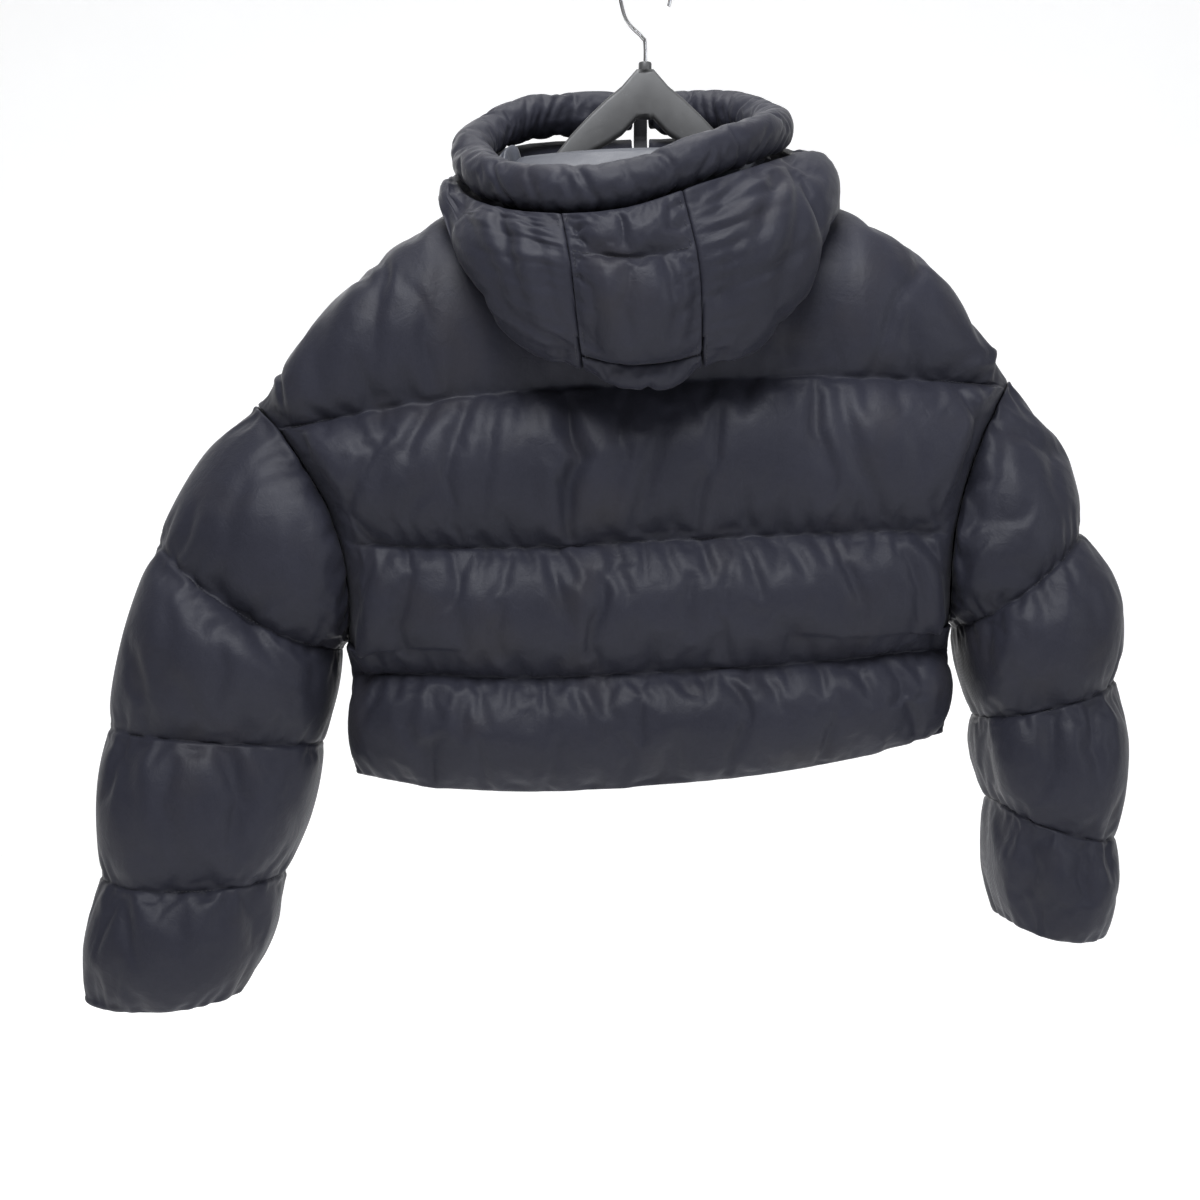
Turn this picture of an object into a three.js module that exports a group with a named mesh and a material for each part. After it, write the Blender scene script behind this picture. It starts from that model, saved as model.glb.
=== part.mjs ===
// Cropped puffer jacket with a hood, hanging on a clothes hanger by its hook.
// Millimetres, +Z up. The origin is the inside top of the hook, where a rail holds it.
// The jacket's front faces -Y and its back faces +Y, and +X is the wearer's left.
import * as THREE from "three";

// Cloth walls: each panel is a base surface with padding outside it and a plain face inside it.
const SHELL = 2; // outer cloth beyond the base surface, at a seam
const LINING = 2.5; // inner face behind the base surface
const SEAM_GAP = 0.25; // half the gap between two sewn pieces
const NECK_PRESS = 0.78; // share of the padding that the hood presses flat at the neck
const SLEEVE_GAP = 0.9; // between the armhole seam and the sleeve
const SCOOP_GAP = 0.8; // and more where the armhole is scooped
const BODY_PUFF = 31; // height of a body baffle over its seams
const HOOD_PUFF = 15;
const GATHER_PITCH = 0.068; // one pucker and the next along a seam, as a share of the panel
const GATHER_DEPTH = 2.2;

// Body: five seam rows, 0 shoulder and neck, 1 to 3 quilting seams, 4 hem.
const HEM_ROW = 4;
const ARMHOLE_FOOT_ROW = 2.74; // row at which the armhole ends and the side seam starts
const FRONT_X = 2; // centre front
const ZIP_HALF = 7; // half the zip tape's width
const ZIP_REACH = 46; // from the centre front, how far the zip pinches the fronts

// Armholes, seen from the back: top and foot in the XZ plane, depth each way along Y.
const ARMHOLES = {
  left: { sign: 1, topX: 367, topZ: -409, footX: 281, footZ: -630, scoop: 36, depth: 66 },
  right: { sign: -1, topX: -343, topZ: -388, footX: -287, footZ: -612, scoop: 26, depth: 66 },
};

// Side seams under the armholes.
const SIDE_SEAMS = {
  left: { x: [281, 277, 272], z: [-630, -662, -757] },
  right: { x: [-287, -284, -280], z: [-612, -639, -719] },
};

// Quilting seams and hem: armhole angle at each end where there is one, half depth of the body,
// and height at five places across, from the wearer's left to the right.
const BODY_SEAMS = [
  { row: 1, leftAngle: 42, rightAngle: 25, depth: 86, z: [-424, -406, -398, -391, -394] },
  { row: 2, leftAngle: 102, rightAngle: 107, depth: 88, z: [-545, -546, -540, -535, -530] },
  { row: 3, leftAngle: 180, rightAngle: 180, depth: 86, z: [-661, -664, -659, -653, -643] },
  { row: 4, leftAngle: 180, rightAngle: 180, depth: 80, z: [-765, -769, -763, -752, -733] },
];
const SEAM_PLACES = [0.1, 0.3, 0.5, 0.7, 0.9];

// Shoulder line from the left armhole to the right one, without its padding.
const SHOULDER_LINE = [
  { x: 367, z: -409 },
  { x: 351, z: -384 },
  { x: 312, z: -344 },
  { x: 262, z: -298 },
  { x: 185, z: -235 },
  { x: 120, z: -198 },
  { x: 2, z: -176 },
  { x: -114, z: -194 },
  { x: -184, z: -231 },
  { x: -238, z: -273 },
  { x: -290, z: -319 },
  { x: -328, z: -361 },
  { x: -343, z: -388 },
];

// Neck opening: an oval inside the shoulder line, lower at the front.
const NECK = { x: FRONT_X, half: 117, backDepth: 56, frontDepth: 74, backDrop: -20, frontDrop: -46 };

// Sleeves: a row for each seam, seen from the back, with the outer and the inner end of the
// seam, half its depth, how far its back dips, and the padding of the baffle above it on the
// outer side, on the back and front, and on the inner side.
const SLEEVES = {
  left: [
    { outX: 456, outZ: -541, inX: 291, inZ: -640, depth: 72, dip: 15, padOut: 9, padFace: 24, padIn: 1 },
    { outX: 503, outZ: -715, inX: 309, inZ: -728, depth: 70, dip: 3, padOut: 5, padFace: 26, padIn: 3 },
    { outX: 511, outZ: -855, inX: 345, inZ: -852, depth: 66, dip: 8, padOut: 5, padFace: 25, padIn: 6 },
    { outX: 528, outZ: -970, inX: 384, inZ: -964, depth: 58, dip: 8, padOut: 7, padFace: 22, padIn: 7 },
  ],
  right: [
    { outX: -404, outZ: -532, inX: -297, inZ: -618, depth: 84, dip: 7, padOut: 17, padFace: 20, padIn: 1 },
    { outX: -438, outZ: -668, inX: -317, inZ: -703, depth: 84, dip: 5, padOut: 20, padFace: 23, padIn: 4 },
    { outX: -438, outZ: -814, inX: -329, inZ: -781, depth: 80, dip: 10, padOut: 7, padFace: 22, padIn: 8 },
    { outX: -429, outZ: -905, inX: -338, inZ: -893, depth: 72, dip: 8, padOut: 5, padFace: 18, padIn: 8 },
  ],
};

// Hood: directions round the neck in degrees, 0 at the centre front, 90 on the wearer's left,
// 180 at the back. rim is the middle of the rolled edge, face the panel's outermost line,
// base its lowest line.
const HOOD = [
  { at: 0, rim: [2, -112, -106], face: [2, -104, -154], base: [2, -92, -196] },
  { at: 45, rim: [112, -82, -118], face: [110, -80, -164], base: [102, -66, -190] },
  { at: 90, rim: [162, -5, -163], face: [175, 16, -204], base: [160, 40, -226] },
  { at: 120, rim: [146, 80, -205], face: [160, 100, -262], base: [138, 104, -306] },
  { at: 150, rim: [92, 145, -232], face: [92, 176, -300], base: [80, 142, -378] },
  { at: 180, rim: [22, 168, -233], face: [14, 190, -318], base: [4, 152, -397] },
  { at: 210, rim: [-45, 155, -206], face: [-70, 178, -300], base: [-68, 140, -376] },
  { at: 240, rim: [-98, 100, -176], face: [-136, 124, -256], base: [-120, 106, -322] },
  { at: 270, rim: [-120, 15, -150], face: [-158, 42, -198], base: [-154, 52, -238] },
  { at: 315, rim: [-85, -80, -113], face: [-90, -82, -158], base: [-96, -66, -188] },
];
const RIM_RADIUS = 23;
const RIM_SQUASH = 0.9;
const RIM_SEAM_TURN = 52; // degrees below level at which the panels meet the roll
const RIM_SEAM_STEP = 6;
const HOOD_STOPS = [0, 0.28, 0.58, 0.8, 1]; // rim seam, face, base, under layer, neck
const SIDE_SEAM_LEFT = 160; // directions of the two seams down the hood's back
const SIDE_SEAM_RIGHT = 200;
const BAND_STOP = 0.2; // first seam across the hood's middle strip
const ROLL_STOP = 0.5; // second one, over the bottom roll
// How far the hood's skins stay off the body's padding: in its upper layer, in its under
// layer, and along the neck seam.
const HOOD_REST = {
  upper: { outer: 14, inner: 9.5 },
  under: { outer: 6.5, inner: 9.2 },
  neck: { outer: 0.6, inner: 5 },
};
const HOOD_END_GAP = 3.45; // degrees from the centre front to the hood's front edge

// Large folds: troughs across a panel, from one place (u across, v row) to another, with a
// half width as a share of the panel and a depth.
const BACK_FOLDS = [
  { u0: 0.2, v0: 0.45, u1: 0.19, v1: 0.95, half: 0.012, depth: 7 },
  { u0: 0.29, v0: 0.55, u1: 0.28, v1: 0.97, half: 0.011, depth: 6 },
  { u0: 0.06, v0: 1.25, u1: 0.01, v1: 1.85, half: 0.012, depth: 6 },
  { u0: 0.17, v0: 1.15, u1: 0.12, v1: 1.75, half: 0.012, depth: 6 },
  { u0: 0.25, v0: 1.05, u1: 0.24, v1: 1.85, half: 0.011, depth: 5 },
  { u0: 0.37, v0: 1.05, u1: 0.38, v1: 1.95, half: 0.014, depth: 9 },
  { u0: 0.54, v0: 1.25, u1: 0.49, v1: 1.9, half: 0.012, depth: 6 },
  { u0: 0.82, v0: 1.05, u1: 0.9, v1: 1.9, half: 0.014, depth: 8 },
  { u0: 0.36, v0: 2.05, u1: 0.39, v1: 2.7, half: 0.012, depth: 6 },
  { u0: 0.46, v0: 2.1, u1: 0.43, v1: 2.85, half: 0.012, depth: 6 },
  { u0: 0.66, v0: 2.05, u1: 0.69, v1: 2.6, half: 0.012, depth: 5 },
  { u0: 0.37, v0: 3.1, u1: 0.39, v1: 3.6, half: 0.012, depth: 5 },
  { u0: 0.57, v0: 3.05, u1: 0.61, v1: 3.5, half: 0.012, depth: 5 },
];
const FRONT_FOLDS = [
  { u0: 0.22, v0: 0.5, u1: 0.2, v1: 0.95, half: 0.012, depth: 6 },
  { u0: 0.14, v0: 1.1, u1: 0.1, v1: 1.8, half: 0.012, depth: 6 },
  { u0: 0.32, v0: 1.05, u1: 0.35, v1: 1.9, half: 0.013, depth: 7 },
  { u0: 0.68, v0: 1.1, u1: 0.64, v1: 1.85, half: 0.013, depth: 7 },
  { u0: 0.86, v0: 1.05, u1: 0.9, v1: 1.8, half: 0.012, depth: 6 },
  { u0: 0.3, v0: 2.05, u1: 0.27, v1: 2.7, half: 0.012, depth: 5 },
  { u0: 0.72, v0: 2.1, u1: 0.75, v1: 2.8, half: 0.012, depth: 5 },
  { u0: 0.38, v0: 3.05, u1: 0.36, v1: 3.6, half: 0.012, depth: 5 },
];

// Hanger and hook.
const HANGER = { topZ: -90, thick: 14 };
const HANGER_ARM = [
  { x: 0, top: -90, foot: -137 },
  { x: 34, top: -116, foot: -160 },
  { x: 70, top: -152, foot: -182 },
  { x: 112, top: -202.2, foot: -226 },
  { x: 165, top: -229.2, foot: -250 },
  { x: 212, top: -265.2, foot: -286 },
];
const HOOK_WIRE = 1.9; // radius of the wire
const HOOK_BEND = 23.75; // radius of the bend, at the middle of the wire

const CLOTH = { color: 0x1c1e27, roughness: 0.45, metalness: 0 };
const LINING_CLOTH = { color: 0x14151b, roughness: 0.6, metalness: 0 };
const TAPE = { color: 0x101014, roughness: 0.8, metalness: 0 };
const ZIP_METAL = { color: 0x3a3b40, roughness: 0.35, metalness: 1 };
const HANGER_PLASTIC = { color: 0x3c3c3d, roughness: 0.45, metalness: 0 };
const CHROME = { color: 0xc9cacc, roughness: 0.15, metalness: 1 };

const { lerp, clamp, smoothstep, degToRad } = THREE.MathUtils;
const point = (x, y, z) => new THREE.Vector3(x, y, z);

// A smooth value through the rows of a table: keys rise, and a period closes it on itself.
function through(keys, values, at, period = 0) {
  const n = keys.length;
  const wrap = (i) => ((i % n) + n) % n;
  const held = (i) => clamp(i, 0, n - 1);
  const key = (i) => (period ? keys[wrap(i)] + period * Math.floor(i / n) : keys[held(i)]);
  const value = (i) => values[period ? wrap(i) : held(i)];
  let i = 0;
  const last = period ? n - 1 : n - 2;
  while (i < last && at > key(i + 1)) i += 1;
  const span = key(i + 1) - key(i);
  const t = clamp((at - key(i)) / span, 0, 1);
  const slope = (j) => {
    const reach = key(j + 1) - key(j - 1);
    return reach > 0 ? ((value(j + 1) - value(j - 1)) / reach) * span : 0;
  };
  const [a, b, c, d] = [value(i), value(i + 1), slope(i), slope(i + 1)];
  const t2 = t * t;
  const t3 = t2 * t;
  return a * (2 * t3 - 3 * t2 + 1) + c * (t3 - 2 * t2 + t) + b * (3 * t2 - 2 * t3) + d * (t3 - t2);
}

// Padding between two seams: 0 on the seams, 1 in the middle, fuller towards its lower side.
function swell(share) {
  const t = clamp(share, 0, 1) ** 0.9;
  return Math.sin(Math.PI * t) ** 0.72;
}

// Small puckers that fade with the distance from a seam row.
function puckers(u, rowShare, pitch) {
  const near = Math.max(0, 1 - Math.min(rowShare, 1 - rowShare) / 0.3);
  const turn = (2 * Math.PI * u) / pitch;
  const beat = 0.6 * Math.sin(turn) + 0.3 * Math.sin(turn / 1.73 + 1.3);
  return GATHER_DEPTH * 4 * near * (1 - near) * beat;
}

// Depth of all the troughs of a fold table at a place on a panel.
function foldDepth(folds, u, v) {
  let depth = 0;
  for (const fold of folds) {
    const along = (v - fold.v0) / (fold.v1 - fold.v0);
    if (along < 0 || along > 1) continue;
    const off = (u - lerp(fold.u0, fold.u1, along)) / fold.half;
    depth += fold.depth * Math.sin(Math.PI * along) ** 0.6 * Math.exp(-off * off);
  }
  return depth;
}

// Armhole curve: angle 0 at its top, 180 at its foot, back for face 1 and front for face -1.
function armhole(hole, degrees, face) {
  const a = degToRad(degrees);
  return point(
    lerp(hole.footX, hole.topX, 0.5 + 0.5 * Math.cos(a)) - hole.sign * hole.scoop * Math.sin(a) ** 2,
    face * hole.depth * Math.sin(a),
    lerp(hole.footZ, hole.topZ, 0.5 + 0.5 * Math.cos(a)),
  );
}

// Direction of the wall's thickness on the armhole seam, shared by the body and the sleeve.
function armholeNormal(hole, degrees, face) {
  const step = 1;
  const here = armhole(hole, degrees, face);
  const along = armhole(hole, degrees + step, face).sub(armhole(hole, degrees - step, face)).normalize();
  const middle = point((hole.topX + hole.footX) / 2, 0, (hole.topZ + hole.footZ) / 2);
  const out = here.sub(middle);
  return out.addScaledVector(along, -out.dot(along)).normalize();
}

const SEAM_ROWS = BODY_SEAMS.map((seam) => seam.row);

// The side edge of a body panel at a row: along the armhole, then down the side seam.
function sideEdge(side, row, face) {
  const hole = ARMHOLES[side];
  if (row <= ARMHOLE_FOOT_ROW) {
    const angles = [0, ...BODY_SEAMS.slice(0, 2).map((seam) => seam[side + "Angle"]), 180];
    const angle = through([0, 1, 2, ARMHOLE_FOOT_ROW], angles, row);
    return { at: armhole(hole, angle, face), normal: armholeNormal(hole, angle, face) };
  }
  const seam = SIDE_SEAMS[side];
  const rows = [ARMHOLE_FOOT_ROW, 3, HEM_ROW];
  return {
    at: point(through(rows, seam.x, row), 0, through(rows, seam.z, row)),
    normal: point(hole.sign, 0, 0),
  };
}

const LINE_X = SHOULDER_LINE.map((stop) => -stop.x);
const LINE_Z = SHOULDER_LINE.map((stop) => stop.z);

// The top edge of a body panel: the shoulder seam, and the neck opening within it.
function topEdge(x, face) {
  const z = through(LINE_X, LINE_Z, -x);
  const across = (x - NECK.x) / NECK.half;
  if (Math.abs(across) >= 1) return point(x, 0, z);
  const round = Math.sqrt(1 - across * across);
  const depth = face > 0 ? NECK.backDepth : NECK.frontDepth;
  const drop = face > 0 ? NECK.backDrop : NECK.frontDrop;
  return point(x, face * depth * round, z + drop * round * round);
}

// Base surface of the body, before padding: u 0 at the wearer's left side and 1 at the right.
function bodyBase(u, row, face) {
  const left = sideEdge("left", row, face).at;
  const right = sideEdge("right", row, face).at;
  const x = lerp(left.x, right.x, u);
  const sideY = lerp(left.y, right.y, u);
  const bulge = (1 - Math.abs(2 * u - 1) ** 2.6) ** (1 / 2.6);
  const depths = BODY_SEAMS.map((seam) => seam.depth);
  const height = (at) => {
    const rows = BODY_SEAMS.map((seam) => through(SEAM_PLACES, seam.z, u));
    return through(SEAM_ROWS, rows, at);
  };
  const fullY = face * through(SEAM_ROWS, depths, Math.max(row, 1));
  const wallY = lerp(sideY, fullY, bulge);
  const fade = (1 - smoothstep(u, 0, 0.14)) + smoothstep(u, 0.86, 1);
  const sideZ = u < 0.5 ? left.z : right.z;
  if (row >= 1) return point(x, wallY, lerp(height(row), sideZ, fade));
  const top = topEdge(x, face);
  const y = lerp(top.y, wallY, Math.sin((Math.PI / 2) * row ** 0.75));
  const z = lerp(top.z, height(1), lerp(row, 1 - Math.cos((Math.PI / 2) * row), 0.5));
  return point(x, lerp(y, sideY, fade * (1 - bulge)), lerp(z, sideZ, fade));
}

// Outward direction of a body panel.
const NORMAL_STEP = 0.004; // how far either way the surface is felt for its slope
function bodyNormal(u, row, face) {
  const a = clamp(u, NORMAL_STEP, 1 - NORMAL_STEP);
  const b = clamp(row, 5 * NORMAL_STEP, HEM_ROW - 5 * NORMAL_STEP);
  const across = bodyBase(a + NORMAL_STEP, b, face).sub(bodyBase(a - NORMAL_STEP, b, face));
  const down = bodyBase(a, b + NORMAL_STEP, face).sub(bodyBase(a, b - NORMAL_STEP, face));
  const open = across.cross(down).normalize().multiplyScalar(-face);
  const side = u < 0.5 ? "left" : "right";
  const edge = sideEdge(side, row, face).normal;
  const fade = 1 - smoothstep(Math.min(u, 1 - u), 0, 0.05);
  const normal = open.lerp(edge, fade).normalize();
  const onShoulder = row === 0 && bodyBase(u, 0, face).y === 0;
  if (onShoulder || (row >= ARMHOLE_FOOT_ROW && (u === 0 || u === 1))) normal.setY(0).normalize();
  return normal;
}

// Outer face of a body panel.
function bodyOuter(u, row, face) {
  const share = row - Math.min(Math.floor(row), HEM_ROW - 1);
  const side = smoothstep(Math.min(u, 1 - u), 0, 0.06) ** 0.6;
  const base = bodyBase(u, row, face);
  const nearZip = Math.abs(base.x - FRONT_X);
  const zip = face < 0 ? smoothstep(nearZip, ZIP_HALF - 3, ZIP_REACH) ** 0.6 : 1;
  const nearNeck = row < 1 ? 1 - smoothstep(Math.abs(base.x - NECK.x), 120, 230) : 0;
  const puff = BODY_PUFF * swell(share) * side * zip * (1 - NECK_PRESS * nearNeck * (1 - 0.6 * share));
  const folds = foldDepth(face > 0 ? BACK_FOLDS : FRONT_FOLDS, u, row);
  const pleats = puckers(u, share, GATHER_PITCH) * side * (1 - nearNeck);
  return base.addScaledVector(bodyNormal(u, row, face), SHELL + puff - folds + pleats);
}

function bodyInner(u, row, face) {
  return bodyBase(u, row, face).addScaledVector(bodyNormal(u, row, face), -LINING);
}

// Places from 0 to 1, closer together near both ends.
function spread(count, crowd = 0.55) {
  return Array.from({ length: count + 1 }, (_, i) => {
    const t = i / count;
    return lerp(t, 0.5 - 0.5 * Math.cos(Math.PI * t), crowd);
  });
}

// Places down a panel with a number of steps for each baffle.
function rowsOf(starts, steps) {
  const rows = [starts[0]];
  for (let i = 0; i + 1 < starts.length; i += 1) {
    for (const t of spread(steps, 0.7).slice(1)) rows.push(lerp(starts[i], starts[i + 1], t));
  }
  return rows;
}

// One closed wall from a grid of outer points and a grid of inner points. Both start and end
// on the same edges. A round wall meets itself, so its last column is left out.
function wall(outer, inner, round = false) {
  const positions = [];
  const index = [];
  const place = (grid) => grid.map((line) => line.map((p) => positions.push(p.x, p.y, p.z) / 3 - 1));
  const skin = (ids, turned) => {
    const columns = ids[0].length;
    for (let r = 0; r + 1 < ids.length; r += 1) {
      for (let c = 0; c + (round ? 0 : 1) < columns; c += 1) {
        const d = (c + 1) % columns;
        const [p, q, s, t] = [ids[r][c], ids[r][d], ids[r + 1][c], ids[r + 1][d]];
        if (turned) index.push(p, q, s, q, t, s);
        else index.push(p, s, q, q, s, t);
      }
    }
  };
  // A strip between two edges with any number of points each.
  const bridge = (a, b, turned) => {
    const closing = round && a.length > 1 ? 1 : 0;
    let [i, j] = [0, 0];
    const [na, nb] = [a.length - 1 + closing, b.length - 1 + closing];
    while (i < na || j < nb) {
      const stepA = j >= nb || (i < na && (i + 1) / na <= (j + 1) / nb);
      const [p, q] = [a[i % a.length], b[j % b.length]];
      const r = stepA ? a[(i + 1) % a.length] : b[(j + 1) % b.length];
      if (turned) index.push(p, r, q);
      else index.push(p, q, r);
      if (stepA) i += 1;
      else j += 1;
    }
  };
  const o = place(outer);
  const n = place(inner);
  skin(o, false);
  skin(n, true);
  bridge(o[0], n[0], true);
  bridge(o[o.length - 1], n[n.length - 1], false);
  if (!round) {
    bridge(o.map((line) => line[0]), n.map((line) => line[0]), false);
    bridge(o.map((line) => line[line.length - 1]), n.map((line) => line[line.length - 1]), true);
  }
  return closedMesh(positions, index);
}

// A geometry whose faces point out, whichever way its triangles were listed. Places are kept
// to hundredths of a millimetre.
function closedMesh(places, index) {
  const positions = places.map((value) => Math.round(value * 100) / 100);
  const at = (i) => point(positions[3 * i], positions[3 * i + 1], positions[3 * i + 2]);
  let volume = 0;
  for (let i = 0; i < index.length; i += 3) {
    volume += at(index[i]).dot(at(index[i + 1]).cross(at(index[i + 2])));
  }
  if (volume < 0) {
    for (let i = 0; i < index.length; i += 3) [index[i], index[i + 1]] = [index[i + 1], index[i]];
  }
  const geometry = new THREE.BufferGeometry();
  geometry.setAttribute("position", new THREE.Float32BufferAttribute(positions, 3));
  geometry.setIndex(index);
  geometry.computeVertexNormals();
  return geometry;
}

// A rounded bar of any section along a list of frames, closed at both ends.
function bar(rings) {
  const positions = [];
  const index = [];
  const sides = rings[0].length;
  const ids = rings.map((ring) => ring.map((p) => positions.push(p.x, p.y, p.z) / 3 - 1));
  for (let r = 0; r + 1 < ids.length; r += 1) {
    for (let c = 0; c < sides; c += 1) {
      const d = (c + 1) % sides;
      index.push(ids[r][c], ids[r][d], ids[r + 1][c], ids[r][d], ids[r + 1][d], ids[r + 1][c]);
    }
  }
  for (const [ring, turned] of [[0, true], [rings.length - 1, false]]) {
    const middle = rings[ring].reduce((sum, p) => sum.add(p), point(0, 0, 0)).divideScalar(sides);
    const id = positions.push(middle.x, middle.y, middle.z) / 3 - 1;
    for (let c = 0; c < sides; c += 1) {
      const [p, q] = [ids[ring][c], ids[ring][(c + 1) % sides]];
      if (turned) index.push(id, q, p);
      else index.push(id, p, q);
    }
  }
  return closedMesh(positions, index);
}

const jacket = new THREE.Group();
function add(name, geometry, finish) {
  const mesh = new THREE.Mesh(geometry, new THREE.MeshStandardMaterial(finish));
  mesh.name = name;
  jacket.add(mesh);
}

// Back and fronts.
const BODY_ROWS = rowsOf([0, 1, 2, 3, 4], 6);
const BODY_INNER_ROWS = rowsOf([0, 1, 2, 3, 4], 2);

// A place on a body panel's face, kept clear of the seam planes and of the centre front.
function bodyPlace(surface, share, row, panel) {
  const left = sideEdge("left", row, panel.face).at.x;
  const right = sideEdge("right", row, panel.face).at.x;
  const from = panel.half === "right" ? (left - FRONT_X + ZIP_HALF) / (left - right) : 0;
  const to = panel.half === "left" ? (left - FRONT_X - ZIP_HALF) / (left - right) : 1;
  const p = surface(lerp(from, to, share), row, panel.face);
  if (panel.half && share === (panel.half === "left" ? 1 : 0)) {
    p.x = FRONT_X + (panel.half === "left" ? 1 : -1) * ZIP_HALF;
  }
  p.y = panel.face * Math.max(panel.face * p.y, SEAM_GAP);
  return p;
}

function bodyPanel(panel, columns, innerColumns) {
  const grid = (surface, rows, count) =>
    rows.map((row) => spread(count, 0.5).map((share) => bodyPlace(surface, share, row, panel)));
  return wall(grid(bodyOuter, BODY_ROWS, columns), grid(bodyInner, BODY_INNER_ROWS, innerColumns));
}

add("back", bodyPanel({ face: 1 }, 44, 20), CLOTH);
add("front_left", bodyPanel({ face: -1, half: "left" }, 22, 10), CLOTH);
add("front_right", bodyPanel({ face: -1, half: "right" }, 22, 10), CLOTH);

// Sleeves.
function sleeveRing(side, ring, degrees) {
  const face = degrees <= 180 ? 1 : -1;
  const turn = degrees <= 180 ? degrees : 360 - degrees;
  if (ring < 0) return armhole(ARMHOLES[side], turn, face);
  const row = SLEEVES[side][ring];
  const a = degToRad(degrees);
  const blunt = (value) => Math.sign(value) * Math.abs(value) ** 0.86;
  const across = 0.5 + 0.5 * blunt(Math.cos(a));
  return point(
    lerp(row.inX, row.outX, across),
    row.depth * blunt(Math.sin(a)),
    lerp(row.inZ, row.outZ, across) - row.dip * Math.sin(a) ** 2,
  );
}

const SLEEVE_RINGS = [0, 1, 2, 3, 4];
function sleeveBase(side, degrees, ring) {
  const stops = SLEEVE_RINGS.map((k) => sleeveRing(side, k - 1, degrees));
  const smooth = (axis) => through(SLEEVE_RINGS, stops.map((p) => p[axis]), ring);
  return point(smooth("x"), smooth("y"), smooth("z"));
}

function sleeveNormal(side, degrees, ring) {
  const turn = (at) => ((at % 360) + 360) % 360;
  const at = clamp(ring, 0.02, 3.98);
  const around = sleeveBase(side, turn(degrees + 3), at).sub(sleeveBase(side, turn(degrees - 3), at));
  const along = sleeveBase(side, degrees, at + 0.02).sub(sleeveBase(side, degrees, at - 0.02));
  const open = around.cross(along).normalize();
  const outward = sleeveBase(side, degrees, at).sub(sleeveBase(side, turn(degrees + 180), at));
  if (open.dot(outward) < 0) open.negate();
  const face = degrees <= 180 ? 1 : -1;
  const edge = armholeNormal(ARMHOLES[side], face > 0 ? degrees : 360 - degrees, face);
  return open.lerp(edge, 1 - smoothstep(ring, 0, 0.3)).normalize();
}

// Step from the armhole seam into the sleeve, square to the seam and to the wall's thickness.
function sleeveStart(side, degrees) {
  const here = sleeveBase(side, degrees, 0);
  const inward = sleeveBase(side, degrees, 0.06).sub(here);
  const normal = sleeveNormal(side, degrees, 0);
  const gap = SLEEVE_GAP + SCOOP_GAP * Math.sin(degToRad(degrees)) ** 2;
  return inward.addScaledVector(normal, -inward.dot(normal)).normalize().multiplyScalar(gap);
}

function sleevePoint(side, degrees, ring, outer) {
  const p = sleeveBase(side, degrees, ring);
  p.addScaledVector(sleeveStart(side, degrees), 1 - smoothstep(ring, 0, 0.25));
  const normal = sleeveNormal(side, degrees, ring);
  if (!outer) return p.addScaledVector(normal, -LINING);
  const share = ring - Math.min(Math.floor(ring), 3);
  const baffle = Math.min(Math.floor(ring), 3);
  const pads = SLEEVES[side][baffle];
  const edge = Math.cos(degToRad(degrees));
  const pad = lerp(pads.padFace, edge > 0 ? pads.padOut : pads.padIn, edge ** 2);
  const pleats = puckers(degrees / 360, share, 1 / 13) * (pad / pads.padFace);
  return p.addScaledVector(normal, SHELL + pad * swell(share) + pleats);
}

const SLEEVE_ROWS = rowsOf(SLEEVE_RINGS, 5);
const SLEEVE_INNER_ROWS = rowsOf(SLEEVE_RINGS, 2);
function sleeve(side, sides, innerSides) {
  const grid = (rows, count, outer) =>
    rows.map((ring) =>
      Array.from({ length: count }, (_, i) => sleevePoint(side, (360 * i) / count, ring, outer)),
    );
  return wall(grid(SLEEVE_ROWS, sides, true), grid(SLEEVE_INNER_ROWS, innerSides, false), true);
}
add("sleeve_left", sleeve("left", 32, 16), CLOTH);
add("sleeve_right", sleeve("right", 32, 16), CLOTH);

// Hood. Its neck edge stands on the body panels' outer faces.
function neckPoint(direction) {
  const a = degToRad(direction);
  const face = Math.cos(a) > 0 ? -1 : 1;
  const x = NECK.x + NECK.half * 0.999 * Math.sin(a);
  const left = ARMHOLES.left.topX;
  const right = ARMHOLES.right.topX;
  const outer = bodyOuter((left - x) / (left - right), 0, face);
  return outer.add(point(0, 0, 3 * SEAM_GAP));
}

const HOOD_AT = HOOD.map((row) => row.at);
function hoodLine(part, direction) {
  const at = ((direction % 360) + 360) % 360;
  const axis = (k) => through(HOOD_AT, HOOD.map((row) => row[part][k]), at, 360);
  return point(axis(0), axis(1), axis(2));
}

// Outward direction in the ground plane at a place on the rim.
function rimOut(direction) {
  const along = hoodLine("rim", direction + 2).sub(hoodLine("rim", direction - 2));
  return point(-along.y, along.x, 0).normalize().negate();
}

// Seam between the rolled edge and the hood's panels, on the roll's lower outer side.
function rimSeam(direction) {
  const a = degToRad(RIM_SEAM_TURN);
  return hoodLine("rim", direction)
    .addScaledVector(rimOut(direction), (RIM_RADIUS * RIM_SQUASH + RIM_SEAM_STEP) * Math.cos(a))
    .add(point(0, 0, -(RIM_RADIUS + RIM_SEAM_STEP) * Math.sin(a)));
}

function hoodBase(direction, stop) {
  const neck = neckPoint(direction);
  const base = hoodLine("base", direction);
  const back = smoothstep(-Math.cos(degToRad(direction)), -0.75, 0.3);
  const under = base.clone().lerp(neck, 0.5).add(point(0, 6 * back, -10 * back));
  const stops = [rimSeam(direction), hoodLine("face", direction), base, under, neck];
  const smooth = (axis) => through(HOOD_STOPS, stops.map((p) => p[axis]), stop);
  return point(smooth("x"), smooth("y"), smooth("z"));
}

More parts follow.
